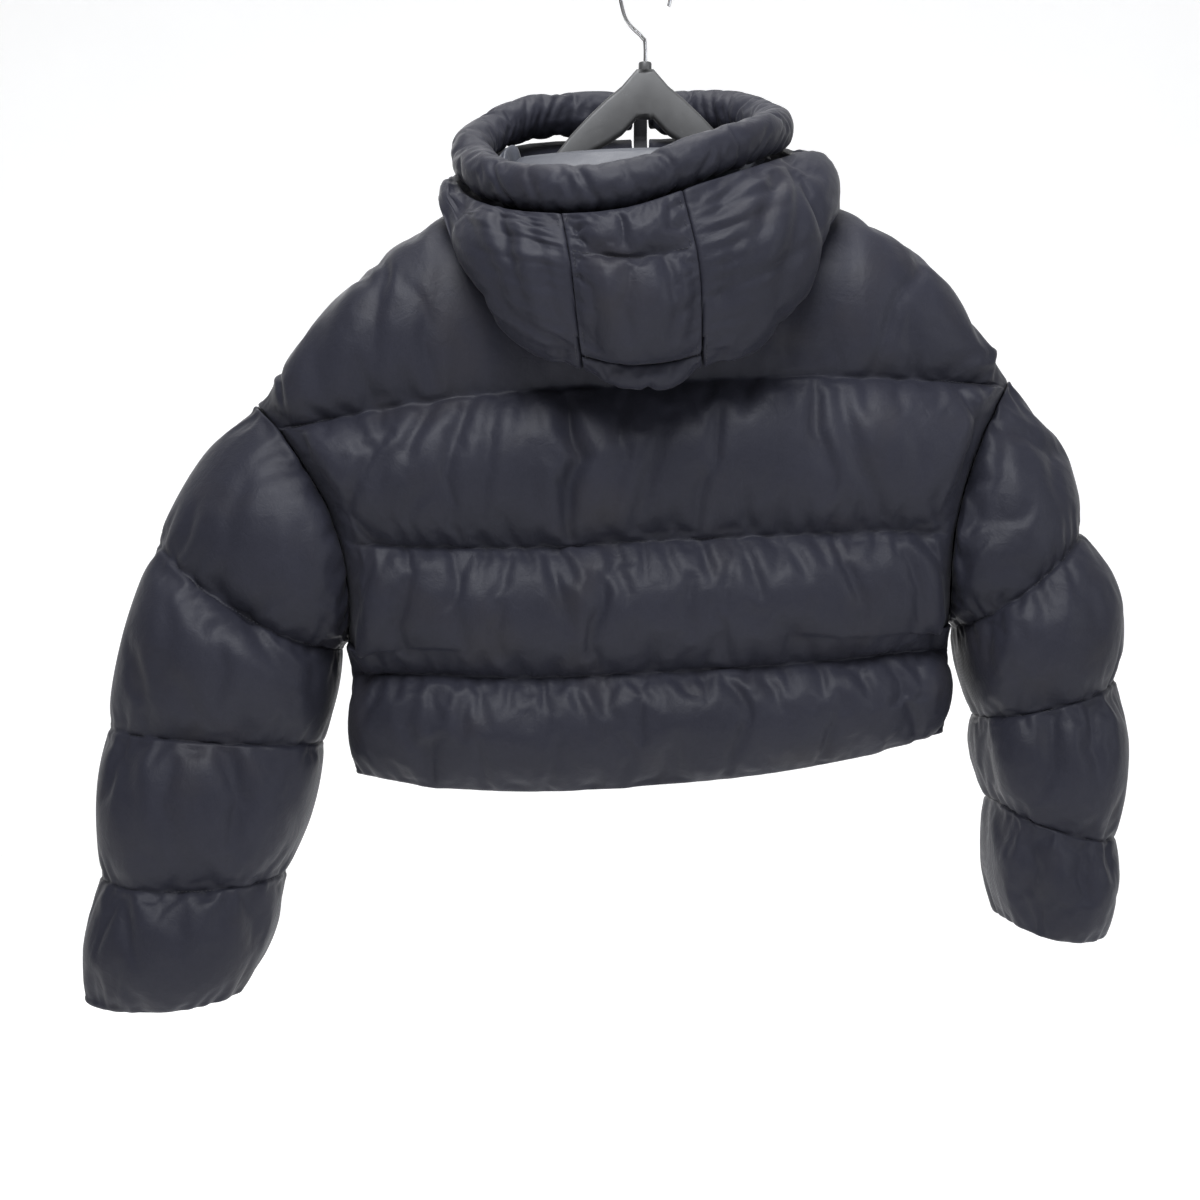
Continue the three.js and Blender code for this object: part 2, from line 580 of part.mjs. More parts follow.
function hoodNormal(direction, stop) {
  const at = clamp(stop, 0.015, 0.985);
  const around = hoodBase(direction + 1.5, at).sub(hoodBase(direction - 1.5, at));
  const along = hoodBase(direction, at + 0.012).sub(hoodBase(direction, at - 0.012));
  return around.cross(along).normalize().negate();
}

// Places on the body's padding under the hood, with their outward directions.
const PADDING = [1, -1].flatMap((face) =>
  rowsOf([0, 1, 1.7], 12).flatMap((row) =>
    spread(70, 0.1).map((share) => {
      const u = lerp(0.14, 0.86, share);
      return { at: bodyOuter(u, row, face), out: bodyNormal(u, row, face) };
    }),
  ),
);

// Moves a point of the hood off the padding that it rests on.
function restOnBody(p, clear) {
  let near = PADDING[0];
  let best = Infinity;
  for (const place of PADDING) {
    const distance = place.at.distanceToSquared(p);
    if (distance < best) [best, near] = [distance, place];
  }
  const height = p.clone().sub(near.at).dot(near.out);
  return height < clear ? p.addScaledVector(near.out, clear - height) : p;
}

const HOOD_FOLDS = [
  { u0: 96, v0: 0.05, u1: 128, v1: 0.5, half: 5, depth: 6 },
  { u0: 118, v0: 0.08, u1: 146, v1: 0.55, half: 5, depth: 7 },
  { u0: 140, v0: 0.12, u1: 154, v1: 0.5, half: 3, depth: 5 },
  { u0: 262, v0: 0.02, u1: 226, v1: 0.5, half: 6, depth: 6 },
  { u0: 282, v0: 0.02, u1: 250, v1: 0.5, half: 6, depth: 6 },
];

function hoodPoint(direction, stop, outer, swellAt) {
  const p = hoodBase(direction, stop);
  const normal = hoodNormal(direction, stop);
  const a = degToRad(direction);
  normal.lerp(point(Math.sin(a), -Math.cos(a), 0), smoothstep(stop, 0.86, 1)).normalize();
  const folds = foldDepth(HOOD_FOLDS, direction, stop) * Math.min(1, swellAt * 1.5);
  p.addScaledVector(normal, outer ? SHELL + HOOD_PUFF * swellAt - folds : -LINING);
  if (stop < 0.05) return p;
  const skin = outer ? "outer" : "inner";
  const layer = lerp(HOOD_REST.upper[skin], HOOD_REST.under[skin], smoothstep(stop, 0.5, 0.66));
  return restOnBody(p, lerp(layer, HOOD_REST.neck[skin], smoothstep(stop, 0.95, 1)));
}

// A hood panel between two directions and two stops. pads says how full it is at a place.
const HOOD_INNER_ROWS = 9;
const HOOD_NECK_ROW = 0.955; // one more row of the inner skin, where it bends over the padding
function hoodPanel(from, to, start, end, columns, stops, pads) {
  const line = (stop, count, outer) =>
    spread(count, 0.5).map((share) => hoodPoint(lerp(from, to, share), stop, outer, pads(share, stop)));
  const outerStops = [stops[0].at];
  for (let i = 1; i < stops.length; i += 1) {
    const steps = spread(stops[i].steps, 0.6).slice(1);
    outerStops.push(...steps.map((t) => lerp(stops[i - 1].at, stops[i].at, t)));
  }
  const innerSteps = Math.max(2, Math.round((end - start) * HOOD_INNER_ROWS));
  const innerStops = spread(innerSteps, 0.2).map((t) => lerp(start, end, t));
  if (end > HOOD_NECK_ROW) innerStops.splice(-1, 0, HOOD_NECK_ROW);
  return wall(
    outerStops.map((stop) => line(stop, columns, true)),
    innerStops.map((stop) => line(stop, Math.round(columns / 2), false)),
  );
}

const SEAM_TURN = 0.3; // degrees kept between two hood panels
const STOP_GAP = 0.0018;
const padSide = (share, stop) => {
  const edges = smoothstep(share, 0, 0.12) * (1 - smoothstep(share, 0.9, 1));
  const underLayer = lerp(1, 0.15, smoothstep(stop, 0.6, 0.72));
  return edges ** 0.6 * swell(stop / 0.86) * underLayer;
};
const sideStops = [{ at: 0, steps: 0 }, { at: 0.62, steps: 10 }, { at: 1, steps: 6 }];
add(
  "hood_side_left",
  hoodPanel(HOOD_END_GAP, SIDE_SEAM_LEFT - SEAM_TURN, 0, 1, 20, sideStops, padSide),
  CLOTH,
);
add(
  "hood_side_right",
  hoodPanel(360 - HOOD_END_GAP, SIDE_SEAM_RIGHT + SEAM_TURN, 0, 1, 20, sideStops, padSide),
  CLOTH,
);

const stripEdges = (share) => (smoothstep(share, 0, 0.22) * (1 - smoothstep(share, 0.78, 1))) ** 0.6;
const padCentre = (share, stop) => {
  const low = stop < BAND_STOP ? [0, BAND_STOP, 0.75] : [BAND_STOP, ROLL_STOP, 1];
  return stripEdges(share) * swell((stop - low[0]) / (low[1] - low[0])) * low[2];
};
const padNape = (share, stop) => {
  const low = (stop - ROLL_STOP) / 0.28;
  return low < 1 ? 0.7 * stripEdges(share) * swell(low) : 0;
};
add(
  "hood_center",
  hoodPanel(SIDE_SEAM_LEFT + SEAM_TURN, SIDE_SEAM_RIGHT - SEAM_TURN, 0, ROLL_STOP - STOP_GAP, 12, [
    { at: 0, steps: 0 },
    { at: BAND_STOP, steps: 5 },
    { at: ROLL_STOP - STOP_GAP, steps: 8 },
  ], padCentre),
  CLOTH,
);
add(
  "hood_nape",
  hoodPanel(SIDE_SEAM_LEFT + SEAM_TURN, SIDE_SEAM_RIGHT - SEAM_TURN, ROLL_STOP + STOP_GAP, 1, 12, [
    { at: ROLL_STOP + STOP_GAP, steps: 0 },
    { at: 0.68, steps: 6 },
    { at: 1, steps: 5 },
  ], padNape),
  CLOTH,
);

// Rolled edge of the hood: a padded tube from one side of the zip round to the other.
const RIM_STEPS = 46;
const RIM_SIDES = 10;
const RIM_END_SIZE = 0.72;
function rimRing(direction, size) {
  const middle = hoodLine("rim", direction);
  const out = rimOut(direction);
  return Array.from({ length: RIM_SIDES }, (_, i) => {
    const a = (2 * Math.PI * i) / RIM_SIDES;
    const pucker = 1 + 0.035 * Math.sin(degToRad(direction) * 17);
    return middle
      .clone()
      .addScaledVector(out, RIM_RADIUS * RIM_SQUASH * size * pucker * Math.cos(a))
      .add(point(0, 0, RIM_RADIUS * size * pucker * Math.sin(a)));
  });
}
const rimRings = Array.from({ length: RIM_STEPS + 1 }, (_, i) => {
  const size = Math.min(1, lerp(RIM_END_SIZE, 1, Math.min(i, RIM_STEPS - i)));
  return rimRing(lerp(HOOD_END_GAP, 360 - HOOD_END_GAP, i / RIM_STEPS), size);
});
add("hood_rim", bar(rimRings), CLOTH);

// Lining that sags inside the hood, from the roll's inner side to the neck opening.
const LINING_SPAN = { from: 76, to: 288, columns: 26, rows: 8, sag: 62, fold: 8, inset: 8, low: 12 };
const LINING_HALF = 1.5;
const LINING_REST = 14.7; // over the body, with the hood's under layer between them
function liningPoint(share, reach, side) {
  const direction = lerp(LINING_SPAN.from, LINING_SPAN.to, share);
  const back = smoothstep(-Math.cos(degToRad(direction)), -0.3, 0.8);
  const start = hoodLine("rim", direction).addScaledVector(rimOut(direction), -RIM_RADIUS * 0.95);
  start.z -= LINING_SPAN.low;
  const neck = neckPoint(direction);
  const middle = point(NECK.x, 0, neck.z);
  const end = neck.lerp(middle, LINING_SPAN.inset / NECK.half).add(point(0, 0, LINING_SPAN.inset));
  const p = start.lerp(end, reach);
  const hang = Math.sin(Math.PI * reach ** 0.85);
  const fold = LINING_SPAN.fold * Math.sin(share * 30 + reach * 4) * Math.sin(Math.PI * reach);
  p.add(point(0, 0, fold - LINING_SPAN.sag * back * hang));
  return restOnBody(p, LINING_REST).add(point(0, 0, side));
}
function liningGrid(side) {
  const { columns, rows } = LINING_SPAN;
  return Array.from({ length: rows + 1 }, (_, r) =>
    Array.from({ length: columns + 1 }, (_, c) => liningPoint(c / columns, r / rows, side)),
  );
}
add("hood_lining", wall(liningGrid(LINING_HALF), liningGrid(-LINING_HALF)), LINING_CLOTH);

// Zip tape down the centre front, from the hood's rolled edge to the hem.
const TAPE_HALF = ZIP_HALF - SEAM_GAP;
const TAPE_THICK = 1.5;
const CORNERS = [[1, 1], [-1, 1], [-1, -1], [1, -1]];
function frontMiddle(row) {
  const left = sideEdge("left", row, -1).at.x;
  const right = sideEdge("right", row, -1).at.x;
  return bodyBase((left - FRONT_X) / (left - right), row, -1);
}
const tapeLine = [
  hoodLine("rim", 0).add(point(0, 0, RIM_RADIUS * 0.6)),
  ...[0, 0.3, 0.5, 0.8].map((stop) => hoodBase(0, stop)),
  ...rowsOf([0.03, 1, 2, 3, 3.98], 3).map(frontMiddle),
];
tapeLine.forEach((p) => p.setX(FRONT_X));
add(
  "zip_tape",
  bar(
    tapeLine.map((p) =>
      CORNERS.map(([x, y]) => point(p.x + x * TAPE_HALF, p.y + y * TAPE_THICK, p.z)),
    ),
  ),
  TAPE,
);

// Zip slider on the collar, square to the tape, and its pull tab, which hangs from a pin
// across X at the slider's front and turns about it.
const SLIDER_STOP = 0.5;
const SLIDER = { wide: 9, tall: 12, thick: 4, gap: 0.3 };
const PULL = { wide: 6, long: 34, thick: 1.8, gap: 0.2, rise: 2 };
const sliderPlace = hoodBase(0, SLIDER_STOP);
const sliderSlope = hoodBase(0, SLIDER_STOP - 0.05).sub(hoodBase(0, SLIDER_STOP + 0.05));
const sliderTurn = -Math.atan2(sliderSlope.y, sliderSlope.z);
const sliderLift = TAPE_THICK + SLIDER.gap + SLIDER.thick / 2;
const sliderBlock = new THREE.BoxGeometry(SLIDER.wide, SLIDER.thick, SLIDER.tall);
sliderBlock.translate(0, -sliderLift, 0);
sliderBlock.rotateX(sliderTurn);
sliderBlock.translate(FRONT_X, sliderPlace.y, sliderPlace.z);
add("zip_slider", sliderBlock, ZIP_METAL);

const pullOutline = new THREE.Shape();
pullOutline.moveTo(-PULL.wide / 2, 0);
pullOutline.lineTo(-PULL.wide / 2, -PULL.long + PULL.wide / 2);
pullOutline.absarc(0, -PULL.long + PULL.wide / 2, PULL.wide / 2, Math.PI, 2 * Math.PI, false);
pullOutline.lineTo(PULL.wide / 2, 0);
pullOutline.closePath();
const pull = new THREE.ExtrudeGeometry(pullOutline, {
  depth: PULL.thick,
  bevelEnabled: false,
  curveSegments: 5,
});
pull.rotateX(Math.PI / 2);
const sliderFront = point(0, -sliderLift - SLIDER.thick / 2, SLIDER.tall / 2);
sliderFront.applyAxisAngle(point(1, 0, 0), sliderTurn);
pull.translate(FRONT_X, sliderPlace.y + sliderFront.y - PULL.gap, sliderPlace.z + PULL.rise);
add("pull_tab", pull, ZIP_METAL);

// Hanger: one bar through both arms, thicker in the middle.
const ARM_REACH = HANGER_ARM.map((stop) => stop.x);
const ARM_PLACES = [0, 17, 34, 52, 70, 92, 116, 140, 165, 190, 212];
const ARM_HALF = [[0.7, 0.1], [1, 0.34], [1, 0.7], [0.7, 1]]; // share across, share down
const ARM_MIRROR = ARM_HALF.map(([across, down]) => [-across, down]).reverse();
const ARM_SECTION = [[0, 0], ...ARM_HALF, ...ARM_MIRROR];
function armRing(x) {
  const at = Math.abs(x);
  const read = (column) => through(ARM_REACH, HANGER_ARM.map((stop) => stop[column]), at);
  const half = HANGER.thick / 2;
  return ARM_SECTION.map(([across, down]) => point(x, half * across, lerp(read("top"), read("foot"), down)));
}
const armPlaces = [...ARM_PLACES.slice(1).map((x) => -x).reverse(), ...ARM_PLACES];
add("hanger", bar(armPlaces.map(armRing)), HANGER_PLASTIC);

// Hook: up from the hanger, round its bend and down to an open tip.
const BEND_MIDDLE = HOOK_WIRE - HOOK_BEND;
const HOOK_STEM = [[0, HANGER.topZ + 0.3], [0, -66], [3, -59], [17.5, -43.5]];
const hookLine = HOOK_STEM.map(([x, z]) => point(x, 0, z));
for (let degrees = 0; degrees <= 200; degrees += 20) {
  const a = degToRad(degrees);
  hookLine.push(point(HOOK_BEND * Math.cos(a), 0, BEND_MIDDLE + HOOK_BEND * Math.sin(a)));
}
const hookCurve = new THREE.CatmullRomCurve3(hookLine, false, "centripetal");
const HOOK_STEPS = 34;
const HOOK_SIDES = 8;
const hookRings = Array.from({ length: HOOK_STEPS + 1 }, (_, i) => {
  const middle = hookCurve.getPointAt(i / HOOK_STEPS);
  const along = hookCurve.getTangentAt(i / HOOK_STEPS);
  const across = point(0, 1, 0);
  const out = along.clone().cross(across).normalize();
  return Array.from({ length: HOOK_SIDES }, (_, k) => {
    const a = (2 * Math.PI * k) / HOOK_SIDES;
    return middle
      .clone()
      .addScaledVector(across, HOOK_WIRE * Math.cos(a))
      .addScaledVector(out, HOOK_WIRE * Math.sin(a));
  });
});
add("hook", bar(hookRings), CHROME);

export default jacket;
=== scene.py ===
# Hooded puffer jacket on a hanger: the looks.
# Places are worked out in millimetres, in the part's own frame, and become metres in the meshes.
# The origin is the inside top of the hook, +Z is up, the front faces -Y and the back faces +Y.
import math
import bpy
import numpy as np
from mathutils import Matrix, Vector
from mathutils.kdtree import KDTree


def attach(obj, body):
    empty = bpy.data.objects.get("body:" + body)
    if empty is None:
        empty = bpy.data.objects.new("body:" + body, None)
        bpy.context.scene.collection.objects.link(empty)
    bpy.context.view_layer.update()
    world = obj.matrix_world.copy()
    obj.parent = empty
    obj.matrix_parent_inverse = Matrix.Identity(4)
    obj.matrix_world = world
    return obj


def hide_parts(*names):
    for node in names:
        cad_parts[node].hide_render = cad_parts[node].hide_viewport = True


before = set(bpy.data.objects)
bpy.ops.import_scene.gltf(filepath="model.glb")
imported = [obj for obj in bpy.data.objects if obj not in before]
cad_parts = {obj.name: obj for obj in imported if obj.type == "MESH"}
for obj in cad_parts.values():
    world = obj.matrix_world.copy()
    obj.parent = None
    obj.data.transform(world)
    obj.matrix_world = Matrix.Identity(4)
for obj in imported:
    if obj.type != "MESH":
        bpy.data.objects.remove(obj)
bpy.ops.object.select_all(action="DESELECT")
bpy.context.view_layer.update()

# Camera and light


def look_from_behind():
    """The photograph's view: level, two metres behind the jacket."""
    view = bpy.data.cameras.new("photo_view")
    view.sensor_width = 36
    view.lens = 36 * 2000 / 1140
    view.clip_start = 0.05
    view.clip_end = 60
    camera = bpy.data.objects.new("photo_view", view)
    camera.location = (0.04275, 2.0, -0.59375)
    camera.rotation_euler = (math.pi / 2, 0, math.pi)
    bpy.context.scene.collection.objects.link(camera)
    bpy.context.scene.camera = camera


def soft_light(name, place, aim, size, power, tint=(1, 1, 1)):
    light = bpy.data.lights.new(name, "AREA")
    light.shape = "RECTANGLE"
    light.size = size[0]
    light.size_y = size[1]
    light.energy = power
    light.color = tint
    lamp = bpy.data.objects.new(name, light)
    lamp.location = place
    lamp.rotation_euler = (Vector(aim) - Vector(place)).to_track_quat("-Z", "Y").to_euler()
    bpy.context.scene.collection.objects.link(lamp)


look_from_behind()
soft_light("key_above", (0.25, 1.4, 1.15), (0, 0, -0.4), (1.4, 0.8), 62, (0.94, 0.96, 1))
soft_light("fill_right", (-1.9, 1.3, 0.1), (0, 0, -0.55), (0.7, 1.3), 15, (0.92, 0.95, 1))
soft_light("over_top", (0.1, 0, 1.3), (0, 0, -0.4), (1.2, 0.8), 20)
soft_light("front_fill", (0.6, -2.2, 0.4), (0, 0, -0.6), (1.6, 1.6), 14)

sky = bpy.data.worlds.new("pale_room")
sky.use_nodes = True
sky.node_tree.nodes["Background"].inputs["Color"].default_value = (1, 1, 1, 1)
sky.node_tree.nodes["Background"].inputs["Strength"].default_value = 0.17
bpy.context.scene.world = sky
bpy.context.scene.view_settings.view_transform = "Standard"

# Shader sums


class Value:
    """A socket that numbers and other sockets can be reckoned with."""

    def __init__(self, finish, socket):
        self.finish = finish
        self.socket = socket

    def reckon(self, operation, *others):
        node = self.finish.node("ShaderNodeMath", {"operation": operation}, *others)
        return node[0]

    def __add__(self, other):
        return self.reckon("ADD", self, other)

    def __sub__(self, other):
        return self.reckon("SUBTRACT", self, other)

    def __mul__(self, other):
        return self.reckon("MULTIPLY", self, other)

    def __radd__(self, other):
        return self.reckon("ADD", other, self)

    def __rsub__(self, other):
        return self.reckon("SUBTRACT", other, self)

    def __rmul__(self, other):
        return self.reckon("MULTIPLY", other, self)


class Finish:
    """A material whose nodes are added by type, settings and inputs."""

    def __init__(self, name, **fixed):
        self.material = bpy.data.materials.new(name)
        self.material.use_nodes = True
        self.nodes = self.material.node_tree.nodes
        self.links = self.material.node_tree.links
        self.shader = self.nodes["Principled BSDF"]
        for key, value in fixed.items():
            self.shader.inputs[key.replace("_", " ")].default_value = value
        self.place = self.node("ShaderNodeTexCoord", {})["Object"]

    def node(self, kind, settings, *inputs, **named):
        made = self.nodes.new(kind)
        for key, value in settings.items():
            if key == "stops":
                ramp = made.color_ramp
                for i, (at, shade) in enumerate(value):
                    stop = ramp.elements[i] if i < 2 else ramp.elements.new(at)
                    stop.position = at
                    stop.color = shade
            else:
                setattr(made, key, value)
        for key, value in [*enumerate(inputs), *named.items()]:
            socket = made.inputs[key.replace("_", " ") if isinstance(key, str) else key]
            if isinstance(value, Value):
                self.links.new(value.socket, socket)
            else:
                socket.default_value = value
        finish = self

        class Outputs:
            def __getitem__(self, key):
                return Value(finish, made.outputs[key])

        return Outputs()

    def noise(self, scale, detail=3, rough=0.5, distort=0, place=None):
        return self.node(
            "ShaderNodeTexNoise", {}, Vector=place or self.place, Scale=scale,
            Detail=detail, Roughness=rough, Distortion=distort,
        )["Fac"]

    def stretched(self, scale, turn=(0, 0, 0)):
        return self.node("ShaderNodeMapping", {}, Vector=self.place, Rotation=turn, Scale=scale)["Vector"]

    def blend(self, share, first, second):
        """A colour between two colours."""
        node = self.node("ShaderNodeMix", {"data_type": "RGBA"}, share)
        made = node[0].socket.node
        for key, value in (("A", first), ("B", second)):
            socket = next(s for s in made.inputs if s.name == key and s.type == "RGBA")
            if isinstance(value, Value):
                self.links.new(value.socket, socket)
            else:
                socket.default_value = (*value, 1)
        return Value(self, next(s for s in made.outputs if s.type == "RGBA"))

    def band(self, value, low, high, to_low=0, to_high=1):
        return self.node(
            "ShaderNodeMapRange", {}, Value=value, From_Min=low, From_Max=high,
            To_Min=to_low, To_Max=to_high,
        )["Result"]

    def feed(self, **sockets):
        for key, value in sockets.items():
            self.links.new(value.socket, self.shader.inputs[key.replace("_", " ")])

    def relief(self, *layers):
        """Bumps, coarse to fine, as (height, distance in metres, strength)."""
        normal = None
        for height, distance, strength in layers:
            named = {"Height": height, "Distance": distance, "Strength": strength}
            if normal is not None:
                named["Normal"] = normal
            normal = self.node("ShaderNodeBump", {}, **named)["Normal"]
        self.feed(Normal=normal)


def nylon_shell():
    cloth = Finish("nylon_shell", Sheen_Weight=0.03, Sheen_Roughness=0.4, Specular_IOR_Level=0.14)
    tone = cloth.noise(7, 3, 0.55)
    lines = cloth.noise(55, 4, 0.6, 1.4)
    fine = cloth.noise(210, 3, 0.6, 0.8)
    weave_a = cloth.node(
        "ShaderNodeTexWave", {"bands_direction": "Z"}, Vector=cloth.place, Scale=420, Distortion=0.6,
    )["Fac"]
    weave_b = cloth.node(
        "ShaderNodeTexWave", {"bands_direction": "X"}, Vector=cloth.place, Scale=420, Distortion=0.6,
    )["Fac"]
    weave = weave_a * 0.5 + weave_b * 0.5
    shade = cloth.band(tone * 0.7 + fine * 0.3, 0.3, 0.7)
    colour = cloth.blend(shade, (0.0150, 0.0154, 0.0222), (0.0225, 0.0230, 0.0325))
    warm = cloth.band(cloth.noise(13, 2, 0.5), 0.56, 0.74)
    colour = cloth.blend(warm * 0.35, colour, (0.0250, 0.0225, 0.0240))
    cloth.feed(Base_Color=colour, Roughness=cloth.band(lines * 0.6 + weave * 0.4, 0.2, 0.8, 0.4, 0.56))
    cloth.relief((lines, 0.0013, 0.4), (fine, 0.0006, 0.35), (weave, 0.00012, 0.3))
    return cloth.material


def satin_lining():
    cloth = Finish("satin_lining", Sheen_Weight=0.1, Sheen_Roughness=0.35)
    tone = cloth.noise(12, 3, 0.5)
    fold = cloth.noise(40, 3, 0.5, 0.6)
    weave = cloth.node(
        "ShaderNodeTexWave", {"bands_direction": "DIAGONAL"}, Vector=cloth.place, Scale=500, Distortion=0.3,
    )["Fac"]
    cloth.feed(
        Base_Color=cloth.blend(cloth.band(tone, 0.3, 0.7), (0.028, 0.031, 0.041), (0.046, 0.050, 0.064)),
        Roughness=cloth.band(fold, 0.3, 0.7, 0.42, 0.55),
    )
    cloth.relief((fold, 0.002, 0.35), (weave, 0.0001, 0.3))
    return cloth.material


def woven_tape():
    tape = Finish("woven_tape")
    rib = tape.node(
        "ShaderNodeTexWave", {"bands_direction": "Z"}, Vector=tape.place, Scale=330, Distortion=0.4,
    )["Fac"]
    speck = tape.noise(600, 2, 0.6)
    tape.feed(
        Base_Color=tape.blend(rib * 0.6 + speck * 0.4, (0.008, 0.008, 0.010), (0.019, 0.019, 0.022)),
        Roughness=tape.band(speck, 0.3, 0.7, 0.7, 0.9),
    )
    tape.relief((rib, 0.0003, 0.5))
    return tape.material


def dark_zip_metal():
    metal = Finish("dark_zip_metal")
    rub = metal.noise(140, 4, 0.6)
    streak = metal.noise(90, 3, 0.6, 0, metal.stretched((1, 1, 14)))
    metal.feed(
        Base_Color=metal.blend(metal.band(rub, 0.45, 0.75), (0.055, 0.055, 0.062), (0.16, 0.16, 0.17)),
        Roughness=metal.band(streak, 0.3, 0.7, 0.24, 0.42),
        Metallic=metal.band(rub, 0.2, 0.3, 0.9, 1),
    )
    metal.relief((streak, 0.0001, 0.25))
    return metal.material


def moulded_plastic():
    plastic = Finish("moulded_plastic")
    grain = plastic.noise(650, 3, 0.6)
    cloud = plastic.noise(16, 2, 0.5)
    scuff = plastic.noise(120, 5, 0.7, 0.6)
    colour = plastic.blend(plastic.band(cloud, 0.3, 0.7), (0.040, 0.040, 0.041), (0.062, 0.062, 0.062))
    colour = plastic.blend(plastic.band(scuff, 0.62, 0.8) * 0.5, colour, (0.12, 0.12, 0.12))
    plastic.feed(Base_Color=colour, Roughness=plastic.band(scuff, 0.3, 0.7, 0.36, 0.52))
    plastic.relief((grain, 0.0001, 0.3))
    return plastic.material


def polished_wire():
    wire = Finish("polished_wire")
    drawn = wire.noise(60, 3, 0.6, 0, wire.stretched((8, 8, 1)))
    spot = wire.noise(300, 3, 0.7)
    wire.feed(
        Base_Color=wire.blend(wire.band(spot, 0.6, 0.8), (0.60, 0.60, 0.61), (0.42, 0.41, 0.40)),
        Metallic=wire.band(spot, 0.1, 0.2, 0.95, 1),
        Roughness=wire.band(drawn, 0.3, 0.7, 0.1, 0.24),
    )
    wire.relief((drawn, 0.00005, 0.2))
    return wire.material


def seam_thread():
    thread = Finish("seam_thread")
    twist = thread.noise(900, 2, 0.5)
    thread.feed(
        Base_Color=thread.blend(twist, (0.010, 0.010, 0.014), (0.030, 0.030, 0.038)),
        Roughness=thread.band(twist, 0.3, 0.7, 0.5, 0.7),
    )
    return thread.material


SHELL_CLOTH = nylon_shell()
LINING_CLOTH = satin_lining()
TAPE_CLOTH = woven_tape()
ZIP_METAL = dark_zip_metal()
PLASTIC = moulded_plastic()
WIRE = polished_wire()
THREAD = seam_thread()

# The part's own sizes: the same names and numbers as in its solids

SHELL = 2
LINING = 2.5
SEAM_GAP = 0.25
NECK_PRESS = 0.78
SLEEVE_GAP = 0.9
SCOOP_GAP = 0.8
BODY_PUFF = 31
HOOD_PUFF = 15
HEM_ROW = 4
ARMHOLE_FOOT_ROW = 2.74
FRONT_X = 2
ZIP_HALF = 7
ZIP_REACH = 46

ARMHOLES = {
    "left": dict(sign=1, topX=367, topZ=-409, footX=281, footZ=-630, scoop=36, depth=66),
    "right": dict(sign=-1, topX=-343, topZ=-388, footX=-287, footZ=-612, scoop=26, depth=66),
}
SIDE_SEAMS = {
    "left": dict(x=[281, 277, 272], z=[-630, -662, -757]),
    "right": dict(x=[-287, -284, -280], z=[-612, -639, -719]),
}
BODY_SEAMS = [
    dict(row=1, left=42, right=25, depth=86, z=[-424, -406, -398, -391, -394]),
    dict(row=2, left=102, right=107, depth=88, z=[-545, -546, -540, -535, -530]),
    dict(row=3, left=180, right=180, depth=86, z=[-661, -664, -659, -653, -643]),
    dict(row=4, left=180, right=180, depth=80, z=[-765, -769, -763, -752, -733]),
]
SEAM_PLACES = [0.1, 0.3, 0.5, 0.7, 0.9]
SHOULDER_LINE = [
    (367, -409), (351, -384), (312, -344), (262, -298), (185, -235), (120, -198), (2, -176),
    (-114, -194), (-184, -231), (-238, -273), (-290, -319), (-328, -361), (-343, -388),
]
NECK = dict(x=FRONT_X, half=117, backDepth=56, frontDepth=74, backDrop=-20, frontDrop=-46)

# outer end, inner end, half depth, dip at the back, padding outside, on the faces, and inside
SLEEVES = {
    "left": [
        (456, -541, 291, -640, 72, 15, 9, 24, 1),
        (503, -715, 309, -728, 70, 3, 5, 26, 3),
        (511, -855, 345, -852, 66, 8, 5, 25, 6),
        (528, -970, 384, -964, 58, 8, 7, 22, 7),
    ],
    "right": [
        (-404, -532, -297, -618, 84, 7, 17, 20, 1),
        (-438, -668, -317, -703, 84, 5, 20, 23, 4),
        (-438, -814, -329, -781, 80, 10, 7, 22, 8),
        (-429, -905, -338, -893, 72, 8, 5, 18, 8),
    ],
}

# direction round the neck, then the rim's middle, the panel's face and its base
HOOD = [
    (0, (2, -112, -106), (2, -104, -154), (2, -92, -196)),
    (45, (112, -82, -118), (110, -80, -164), (102, -66, -190)),
    (90, (162, -5, -163), (175, 16, -204), (160, 40, -226)),
    (120, (146, 80, -205), (160, 100, -262), (138, 104, -306)),
    (150, (92, 145, -232), (92, 176, -300), (80, 142, -378)),
    (180, (22, 168, -233), (14, 190, -318), (4, 152, -397)),
    (210, (-45, 155, -206), (-70, 178, -300), (-68, 140, -376)),
    (240, (-98, 100, -176), (-136, 124, -256), (-120, 106, -322)),
    (270, (-120, 15, -150), (-158, 42, -198), (-154, 52, -238)),
    (315, (-85, -80, -113), (-90, -82, -158), (-96, -66, -188)),
]
RIM_RADIUS = 23
RIM_SQUASH = 0.9
RIM_SEAM_TURN = 52
RIM_SEAM_STEP = 6
HOOD_STOPS = [0, 0.28, 0.58, 0.8, 1]
SIDE_SEAM_LEFT = 160
SIDE_SEAM_RIGHT = 200
BAND_STOP = 0.2
ROLL_STOP = 0.5
HOOD_REST = dict(upper=(14, 9.5), under=(6.5, 9.2), neck=(0.6, 5))  # outer and inner skin
SEAM_LOOK = 0.03  # degrees from a panel's edge to its seam, drawn tighter than the solids
HOOD_END_GAP = 3.45

# Surfaces: every function takes arrays and gives arrays of places


def smooth(value, low, high):
    t = np.clip((value - low) / (high - low), 0, 1)
    return t * t * (3 - 2 * t)


def mix(a, b, share):
    return a + (b - a) * share


def unit(v):
    return v / np.maximum(np.linalg.norm(v, axis=-1, keepdims=True), 1e-9)


def places(x, y, z):
    x, y, z = np.broadcast_arrays(x, y, z)
    return np.stack([x, y, z], axis=-1).astype(float)


